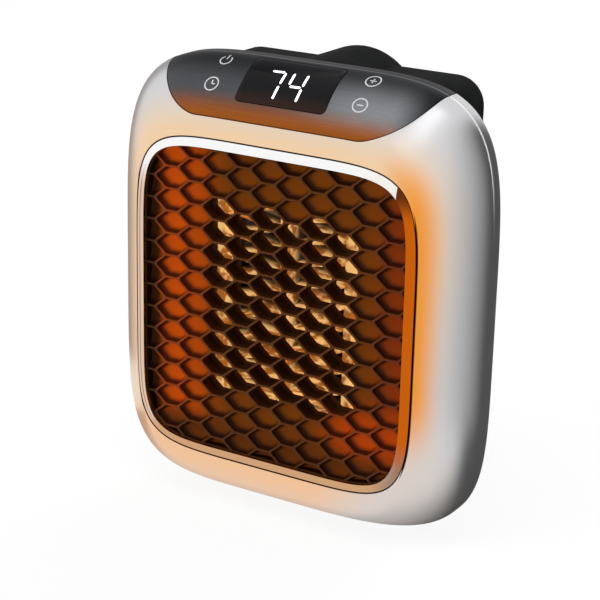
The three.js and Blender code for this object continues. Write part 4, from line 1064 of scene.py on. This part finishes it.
# %% Group: fine grain of a moulded or painted surface
grain_inputs = {"Roughness": 0.4, "Variation": 0.05, "Scale": 900.0}
grain, given, result = shader_group("surface_grain", grain_inputs, ["Roughness", "Height"])
fine, broad = noise(grain, Scale=given("Scale"), Detail=2.0), noise(grain, Scale=25.0, Detail=2.0)
swing = (broad - 0.5) * given("Variation")
feed(result, {"Roughness": given("Roughness") + swing, "Height": fine})
print("grain nodes", len(grain.nodes))

# %% Group: warm light from the outlet on the housing
glow, given, result = shader_group(
    "outlet_warmth", {"Reach": 0.014}, ["Warmth", "Right", "Distance", "Low right"],
)
across, _, up = drawn_place(glow)
wide = abs(across / (window_half_width * MM)) ** window_power
tall = abs(up / (window_half_height * MM)) ** window_power
away = ((wide + tall) ** (1 / window_power) - 1.0) * (window_mean * MM)
feed(result, {
    "Distance": away, "Warmth": 1 - ramp(away, 0.0, given("Reach")),
    "Right": ramp(across, 0.034, 0.050) * ramp(up, -0.044, -0.016),
    "Low right": ramp(across * 1.5 - up * 0.7, 0.06, 0.1),
})
print("warmth nodes", len(glow.nodes))

# %% [markdown]
# ## Finishes
#
# Every finish starts from one shader with the grain group on its roughness and bump. The pieces that
# stay hidden behind the grille and the vents need no more than that.

# %% A base for all finishes, and the warm light as a node of each that needs it
def warmth(tree, reach):
    """What the warm light does at the shaded spot, by name."""
    return named_outputs(add_node(tree, "ShaderNodeGroup", {"Reach": reach}, node_tree=glow))


def finish(name, colour, roughness, metal=0.0, specular=0.5, variation=0.05, scale=900.0, bump=0.02):
    """A finish with grain; returns its tree and its shader."""
    material = bpy.data.materials.get(name) or blank_material(name)
    tree = material.node_tree
    shader = tree.nodes["Principled BSDF"]
    inputs = {"Roughness": roughness, "Variation": variation, "Scale": scale}
    grains = named_outputs(add_node(tree, "ShaderNodeGroup", inputs, node_tree=grain))
    relief = {"Height": grains["Height"], "Strength": bump, "Distance": 0.0002}
    feed(shader, {
        "Base Color": (*colour, 1), "Metallic": metal, "Specular IOR Level": specular,
        "Roughness": grains["Roughness"], "Normal": wire(tree, "ShaderNodeBump", relief),
    })
    return tree, shader


# %% Plain finishes, most of them of inner pieces
for name, colour, roughness, metal, specular in (
    ("rocker_black", (0.007, 0.007, 0.007), 0.25, 0, 0.4), ("insulator", (0.55, 0.42, 0.24), 0.8, 0, 0.3),
    ("screw_steel", (0.45, 0.46, 0.48), 0.3, 1, 0.5), ("contact_brass", (0.62, 0.45, 0.16), 0.3, 1, 0.5),
    ("prong_nickel", (0.66, 0.65, 0.62), 0.22, 1, 0.5), ("circuit_green", (0.03, 0.18, 0.07), 0.35, 0, 0.5),
    ("relay_blue", (0.04, 0.12, 0.32), 0.35, 0, 0.5), ("display_white", (0.7, 0.69, 0.65), 0.6, 0, 0.4),
    ("foam", (0.04, 0.04, 0.04), 0.9, 0, 0.2), ("mark_print", (0.5, 0.51, 0.52), 0.5, 0, 0.5),
    ("lead_red", (0.35, 0.03, 0.02), 0.45, 0, 0.4), ("lead_white", (0.66, 0.65, 0.6), 0.45, 0, 0.4),
):
    finish(name, colour, roughness, metal, specular)
tree, shader = finish("digit_light", (0.9, 0.92, 0.95), 0.5)
feed(shader, {"Emission Color": (0.95, 0.97, 1.0, 1), "Emission Strength": 0.9})
print("materials", len(bpy.data.materials))

# %% [markdown]
# ## Black plastic and silver paint
#
# The cover is moulded with a fine texture that swallows gloss, so its grain is small and its shine
# low, and a cloud of two near tones keeps it from looking flat. The housing is satin silver paint.
# Near the outlet it takes on the element's warm light. A lamp inside could throw it, but laid over
# the silver as colour it looks the same from all sides and stays in the exported model.

# %% Black moulded plastic, finely textured
tree, shader = finish(
    "black_plastic", (0.009, 0.009, 0.01), 0.46, specular=0.01, variation=0.12, scale=2200.0, bump=0.12,
)
cloud = ramp(noise(tree, Scale=60.0, Detail=6.0, Roughness=0.7), 0.35, 0.65)
feed(shader, {"Base Color": mixed(cloud, (0.0052, 0.0055, 0.006), (0.0082, 0.0085, 0.009))})
print("black plastic nodes", len(tree.nodes))

# %% Silver housing, with the outlet's warm light, a highlight and a gap shadow painted on
tree, shader = finish("silver_shell", (0.62, 0.62, 0.63), 0.3, metal=0.93, variation=0.04)
across, depth, up = drawn_place(tree)
below = ramp(up, -0.03, -0.052)
warm = warmth(tree, below * 0.008 + 0.0145)
warm_share = warm["Warmth"] * (0.85 - warm["Low right"] * 0.65)
orange_share = ramp(warm["Distance"], 0.0085, 0.0008) * warm["Right"]
# A thin dark line on the housing right at the bezel's edge is painted shadow in the gap.
bezel_gap_shade = ramp(warm["Distance"], 0.0007, 0.00045) * ramp(depth, 0.00001, 0.0001)
# Near the upper right the crease is painted pale and less metallic: a painted highlight.
crease_run = ramp(depth, 0.01945, 0.01965) * ramp(depth, 0.0204, 0.0201)
crease_highlight = crease_run * (ramp(up, 0.034, 0.058) * ramp(across, 0.0, 0.03))
colour = layered((0.64, 0.64, 0.65), [
    (warm_share, mixed(below, (0.92, 0.62, 0.34), (0.92, 0.52, 0.26))),
    (orange_share, (0.87, 0.32, 0.045)), (bezel_gap_shade, (0.008, 0.005, 0.003)), (crease_highlight, (0.95, 0.95, 0.95)),
])
feed(shader, {"Base Color": colour, "Metallic": crease_highlight * -0.85 + 0.93})
print("silver nodes", len(tree.nodes))

# %% [markdown]
# ## Chrome
#
# Chrome shows what stands round it. The glow of the outlet is no lamp in this scene, so its colours
# are painted on the plating by place as reflections: orange on the right run, tan on the left and the
# lower run, with a darker line on the left run as the painted reflection of the lip. A pale patch at
# the top corner, less metallic, is a painted white reflection, and a thin dark line where the outer
# edge turns into its gap is painted shadow.

# %% Chrome that picks up the outlet's colours
tree, shader = finish("chrome_trim", (0.9, 0.9, 0.9), 0.1, metal=1, variation=0.02, bump=0.0)
across, depth, up = drawn_place(tree)
away = warmth(tree, 0.02)["Distance"]
soft_turn = ramp(across, 0.036, 0.0475)
hard_turn = ramp(across, 0.0428, 0.0431) - soft_turn
right_run = hard_turn * ramp(up, -0.01, 0.01) + soft_turn
right_colour = layered((0.57, 0.115, 0.004), [
    (ramp(up, -0.030, -0.045), (0.30, 0.20, 0.14)), (ramp(up, 0.037, 0.0455), (0.13, 0.03, 0.005)),
])
# The pale, less metallic patch at the top corner is a painted white reflection.
top_corner = maths("MAXIMUM", ramp(across, 0.026, 0.036) * (ramp(up, 0.03, 0.036) - right_run), 0.0)
left_run = ramp(across, -0.042, -0.0465) * ramp(up, 0.044, 0.032)
# The darker double line on the left run is a painted reflection of the bezel's lip.
lip = ramp(away, -0.0017, -0.0015) * ramp(away, -0.0011, -0.0013)
# The thin dark line at the outer edge is painted shadow in the gap.
outer_gap_shade = ramp(away, -0.0003, -0.0001) * ramp(depth, -0.00012, 0.00002) * (1.0 - right_run)
colour = layered((0.93, 0.93, 0.93), [
    (ramp(up, -0.038, -0.047), (0.62, 0.35, 0.18)), (top_corner, (0.74, 0.72, 0.68)),
    (right_run, right_colour), (left_run, mixed(lip, (0.74, 0.54, 0.40), (0.33, 0.17, 0.1))),
    (outer_gap_shade, (0.012, 0.007, 0.004)),
])
feed(shader, {"Base Color": colour, "Metallic": top_corner * -0.85 + 1.0})
print("chrome nodes", len(tree.nodes))

# %% [markdown]
# ## Panel and display window
#
# The panel is brushed graphite, with painted light in its colour: a painted sheen towards the right,
# painted shade up the slope, at the right end and along the back edge, a painted highlight along the
# crease, and a painted reflection of the warm face along its foot. A noise stretched across makes the
# brushing. The window is black gloss with a painted red reflection of the warm face at its foot.

# %% Display window
def slope_rise(depth, up):
    """How far up the slope a spot lies over its foot, in metres."""
    return (depth + up) * half_root - slope_foot * MM


tree, shader = finish("lens_black", (0.003, 0.003, 0.004), 0.12, specular=0.12, variation=0.01, bump=0.0)
_, depth, up = drawn_place(tree)
# The faint red at the window's foot is a painted reflection of the warm face.
foot = ramp(slope_rise(depth, up), 0.012, 0.0055)
feed(shader, {"Base Color": mixed(foot, (0.003, 0.003, 0.004), (0.02, 0.008, 0.005))})
print("window nodes", len(tree.nodes))

# %% Brushed graphite
tree, shader = finish("panel_graphite", (0.05, 0.054, 0.06), 0.36, metal=0.45, specular=0.1, bump=0.08)
across, depth, up = drawn_place(tree)
long_way = wire(tree, "ShaderNodeMapping", {"Vector": place_on_piece(tree), "Scale": (8, 900, 900)})
brush = wire(tree, "ShaderNodeTexNoise", {"Vector": long_way, "Scale": 3.0, "Detail": 3.0})
rise = slope_rise(depth, up)
# The thin pale line along the crease is a painted highlight.
panel_crease_highlight = ramp(depth, 0.0195, 0.0198) * ramp(depth, 0.0203, 0.02)
# Over the graphite: a painted sheen to the right, painted shade up the slope, at the right end and along the
# back edge, a painted reflection of the warm face along the foot, the brushing, and the crease's painted
# highlight.
colour = layered((0.075, 0.078, 0.084), [
    (ramp(across, -0.005, 0.03), (0.23, 0.238, 0.25)), (ramp(rise, 0.009, 0.0235), (0.0105, 0.0118, 0.0135)),
    (ramp(across, 0.036, 0.048), (0.0075, 0.0086, 0.01)), (ramp(rise, 0.009, 0.0005), (0.31, 0.082, 0.010)),
    (brush * 0.35, (0.0, 0.0, 0.0)), (ramp(depth, 0.0199, 0.0203), (0.009, 0.0095, 0.0105)),
    (panel_crease_highlight, (0.17, 0.175, 0.185)),
])
feed(shader, {"Base Color": colour})
feed(tree.nodes["Bump"], {"Height": brush})
print("graphite nodes", len(tree.nodes))

# %% [markdown]
# ## Grille and foil
#
# The element glows orange behind the grille. The floors and lit sides of the cells carry that light
# as painted colour and a little emission, for the reason given with the silver. It is stronger to the
# left and weaker at the edges, and a painted shadow of the bezel darkens the leftmost cells. The ribs
# stay brown with half of that colour, the walls are painted almost black as shade, and inside the open
# collars the painted glow grows towards the foil. The foil glows in patches as painted light and turns
# grey and darker towards the fan as painted shade.

# %% Grille: brown ribs, and floors that glow in the element's light
tree, shader = finish("grille_dark", (0.05, 0.03, 0.02), 0.6, specular=0.06)
across, depth, up = drawn_place(tree)
face_across, face_depth, face_up = split(wire(tree, "ShaderNodeNewGeometry", out="Normal"))
# Floors and the cell sides that face the element carry the painted glow; the rest is painted shade.
floor_share = ramp(depth, 0.0022, 0.0033) * ramp(face_depth, -0.2, -0.6)
lit_side = ramp(face_up * 0.7 + face_across, -0.02, -0.25) * ramp(depth, 0.0008, 0.0018)
floor_share = maths("MAXIMUM", floor_share, lit_side) * (1.0 - ramp(depth, 0.00352, 0.0036))
# Painted glow: stronger to the left and at the lower right, weaker to the right and at the bottom; the
# leftmost strip is painted shadow of the bezel.
floor_colour = layered((0.108, 0.026, 0.0006), [
    (ramp(across, -0.016, -0.034), (0.34, 0.046, 0.0004)), (ramp(across, 0.030, 0.046), (0.15, 0.019, 0.001)),
    (ramp(up, -0.020, -0.032) * ramp(across, 0.012, 0.03), (0.29, 0.033, 0.0004)),
    (ramp(up, -0.036, -0.045), (0.075, 0.018, 0.001)), (ramp(across, -0.0405, -0.0445), (0.02, 0.006, 0.001)),
])
rib_colour = mixed(0.5, (0.055, 0.027, 0.012), floor_colour)
# Inside the open collars the painted glow grows from dark at the front towards the foil.
near_foil = mixed(ramp(depth, 0.0042, 0.0078), (0.010, 0.0024, 0.0008), (0.07, 0.02, 0.004))
# Walls are painted almost black as shade, and the ribs take half of the painted glow.
colour = layered(mixed(0.13, (0.009, 0.002, 0.0008), floor_colour), [
    (ramp(depth, 0.0010, 0.0005), rib_colour), (ramp(depth, 0.0037, 0.0042), near_foil),
    (floor_share, floor_colour),
])
lit = mixed(floor_share, (0, 0, 0), floor_colour)
feed(shader, {"Base Color": colour, "Emission Color": lit, "Emission Strength": 0.5})
print("grille nodes", len(tree.nodes))

# %% Element foil in its own warm light
tree, shader = finish("element_aluminium", (0.55, 0.3, 0.09), 0.35, metal=0.6)
depth = drawn_place(tree)[1]
# The orange base colour and the patchy emission are painted glow; towards the fan the foil is painted grey
# and dark as shade.
patches = ramp(noise(tree, Scale=260.0, Detail=2.0), 0.4, 0.6)
shaded_back = ramp(depth, 0.0095, 0.0165)
feed(shader, {
    "Emission Color": mixed(shaded_back, mixed(patches, (0.34, 0.085, 0.008), (1.0, 0.58, 0.2)), (0.0, 0.0, 0.0)),
    "Base Color": mixed(shaded_back, (0.55, 0.3, 0.09), (0.24, 0.22, 0.2)), "Emission Strength": 0.75,
})
print("foil nodes", len(tree.nodes))

# %% [markdown]
# ## The table of pieces
#
# Each new piece gets its finish and the body that it moves with, and the CAD solids that it stands
# for are hidden. The solids that stay get the finish of their own slot in the record.

# %% Give each piece its finish and its body, and hide the solids that it stands for
made = [
    (housing, ["front_housing"], "housing", "silver_shell"),
    (panel, ["control_panel"], "housing", "panel_graphite"),
    (lens, ["display_lens"], "housing", "lens_black"),
    (bezel, ["grille_bezel"], "housing", "chrome_trim"),
    (grille, ["front_grille"], "housing", "grille_dark"),
    (fins, [f"fin_stack_{i}" for i in (1, 2, 3, 4)], "housing", "element_aluminium"),
    (cover, ["rear_cover"], "housing", "black_plastic"),
    (plug, ["plug_turret"], "plug", "black_plastic"),
    (prong_live, ["prong_live"], "plug", "prong_nickel"),
    (prong_neutral, ["prong_neutral"], "plug", "prong_nickel"),
    (switch, ["switch_body"], "housing", "black_plastic"),
    (rocker, ["switch_rocker"], "rocker", "rocker_black"),
    (screws, [f"cover_screw_{i}" for i in (1, 2, 3, 4)], "housing", "screw_steel"),
    (digits, [], "housing", "digit_light"),
    (touch_marks, [], "housing", "mark_print"),
]
replaced = set()
for piece, stands_for, body, look in made:
    piece.data.materials.clear()
    piece.data.materials.append(bpy.data.materials[look])
    piece.data.polygons.foreach_set("material_index", [0] * len(piece.data.polygons))
    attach(piece, body)
    if stands_for:
        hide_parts(*stands_for)
    replaced.update(stands_for)
looks = {row["node"]: row["material_slot"] for row in frame["record"]["subparts"]}
for name, kept in nodes.items():
    if name not in replaced:
        for slot in kept.material_slots:
            slot.material = bpy.data.materials[looks[name]]
print("pieces made", len(made), "nodes kept", len(nodes) - len(replaced))

# %% [markdown]
# ## Studio
#
# A pale floor close under the heater, a white surround for the camera and soft lamps light it. Four
# cards, seen only in reflections, give the shiny pieces something to mirror: a dark one at the right
# for the rim's dark band, one under the heater, a bright one above and a tan one at the left. Modelled
# walls would do the same, but they would also block the light and the view.

# %% Floor
def flat_sheet(name, corners, material):
    """One four-cornered sheet of the studio."""
    sheet = bpy.data.objects.new(name, bpy.data.meshes.new(name))
    sheet.data.from_pydata(corners, [], [(0, 1, 2, 3)])
    sheet.data.materials.append(material)
    bpy.context.scene.collection.objects.link(sheet)
    return sheet


def shown(seen):
    """One for rays from the camera, from a gloss or through glass."""
    direct = maths("MAXIMUM", seen["Is Camera Ray"], seen["Is Glossy Ray"])
    return maths("MAXIMUM", direct, seen["Is Transmission Ray"])


pale = blank_material("studio_pale")
tree = pale.node_tree
shader = tree.nodes["Principled BSDF"]
feed(shader, {"Base Color": (0.85, 0.85, 0.85, 1), "Roughness": 0.9, "Specular IOR Level": 0.1})
white = wire(tree, "ShaderNodeEmission", {"Color": (1, 1, 1, 1), "Strength": 1.0})
seen = named_outputs(add_node(tree, "ShaderNodeLightPath"))
white_share = maths("MAXIMUM", shown(seen) * 0.88, seen["Is Glossy Ray"])
both = wire(tree, "ShaderNodeMixShader", {0: white_share, 1: Wire(shader.outputs[0]), 2: white})
feed(tree.nodes["Material Output"], {"Surface": both})
floor_up, reach = housing_low.z - 0.0005, 8
corners = [(x * reach, y * reach, floor_up) for x, y in ((-1, -1), (1, -1), (1, 1), (-1, 1))]
floor = flat_sheet("studio_floor", corners, pale)
print("floor height", round(floor_up, 4))

# %% Surround
world = bpy.data.worlds.new("studio_surround")
world.use_nodes = True
bpy.context.scene.world = world
tree = world.node_tree
tree.nodes.clear()
level = maths("MAXIMUM", shown(named_outputs(add_node(tree, "ShaderNodeLightPath"))), 0.45)
light = wire(tree, "ShaderNodeBackground", {"Color": (1, 1, 1, 1), "Strength": level})
add_node(tree, "ShaderNodeOutputWorld", {"Surface": light})
print("surround nodes", len(tree.nodes))

# %% Lamps
heater_middle = Vector((0, -0.03, -0.05))


def lamp(name, place, size, watts):
    """A soft lamp that looks at the heater's middle and leaves no reflection of its own."""
    data = bpy.data.lights.new(name, "AREA")
    data.shape = "RECTANGLE"
    data.size, data.size_y = size
    data.energy = watts
    light = bpy.data.objects.new(name, data)
    light.location = place
    light.rotation_euler = (heater_middle - Vector(place)).to_track_quat("-Z", "Y").to_euler()
    light.visible_glossy = False
    bpy.context.scene.collection.objects.link(light)


lamp("key_light", (-0.7, -0.9, 0.7), (0.8, 0.8), 7)
lamp("top_light", (0.1, -0.2, 1.0), (0.7, 0.5), 5)
lamp("front_light", (0.5, -1.0, 0.1), (0.5, 0.7), 3)
lamp("back_light", (0.1, 1.2, -0.02), (0.8, 0.3), 50)
print("lamps", len(bpy.data.lights))


# %% Cards
def card(name, corners, tones, axis, near, far, fade=None):
    """A card seen only in reflections, whose tone changes along an axis and may fade to white."""
    paint = blank_material(name)
    tree = paint.node_tree
    spot = dict(zip("XYZ", split(place_on_piece(tree))))
    tone = mixed(ramp(spot[axis], near, far), *tones)
    if fade:
        tone = mixed(ramp(spot[fade[0]], *fade[1:]), tone, (1.0, 1.0, 1.0))
    feed(tree.nodes["Material Output"], {"Surface": wire(tree, "ShaderNodeEmission", {"Color": tone})})
    flag = flat_sheet(name, corners, paint)
    flag.visible_camera = flag.visible_diffuse = flag.visible_shadow = flag.visible_transmission = False


def upright(across, front):
    """The corners of an upright card beside the heater, from a depth to far behind it."""
    return [(across, front, low), (across, 0.6, low), (across, 0.6, 0.25), (across, front, 0.25)]


low = floor_up + 0.002
dark_tones, under_tones = ((1.0, 1.0, 1.0), (0.03, 0.03, 0.032)), ((0.5, 0.38, 0.29), (0.04, 0.04, 0.04))
bright_tones, tan_tones = ((1.0, 1.0, 1.0), (1.9, 1.9, 1.9)), ((0.36, 0.24, 0.15), (0.42, 0.42, 0.43))
under_corners = [(-0.09, -0.07, low), (0.14, -0.07, low), (0.14, 0.6, low), (-0.09, 0.6, low)]
bright_corners = [(0.02, -0.7, 0.45), (0.4, -0.7, 0.4), (0.4, -0.05, 0.4), (0.02, -0.05, 0.45)]
card("dark_card", upright(0.14, -0.2), dark_tones, "Y", -0.15, 0.05, fade=("Z", 0.05, 0.16))
card("under_card", under_corners, under_tones, "X", -0.06, 0.07, fade=("Y", -0.033, -0.065))
card("bright_card", bright_corners, bright_tones, "X", 0.03, 0.14, fade=("Y", -0.3, -0.68))
card("tan_card", upright(-0.14, -0.02), tan_tones, "Z", -0.06, 0.06)
print("cards stand on", round(low, 4))

# %% [markdown]
# ## Camera
#
# The camera was fitted to the outlines of the face, the rim, the bezel and the panel. Its three
# directions and its place are given as they came out, in the frame's axes and metres.

# %% Camera
camera = bpy.data.objects.new("photo_camera", bpy.data.cameras.new("photo_camera"))
right = Vector((0.85182, 0.52334, 0.02280))
above = Vector((-0.18784, 0.26454, 0.94590))
ahead = Vector((-0.48899, 0.81002, -0.32365))
turn = Matrix((right, above, -ahead)).transposed().to_4x4()
camera.matrix_world = Matrix.Translation((0.2833, -0.5074, 0.1337)) @ turn
camera.data.lens = 110.05
camera.data.sensor_width = 36
camera.data.clip_start = 0.01
bpy.context.scene.collection.objects.link(camera)
bpy.context.scene.camera = camera
bpy.context.scene.view_settings.view_transform = "Standard"
print("camera lens", camera.data.lens)
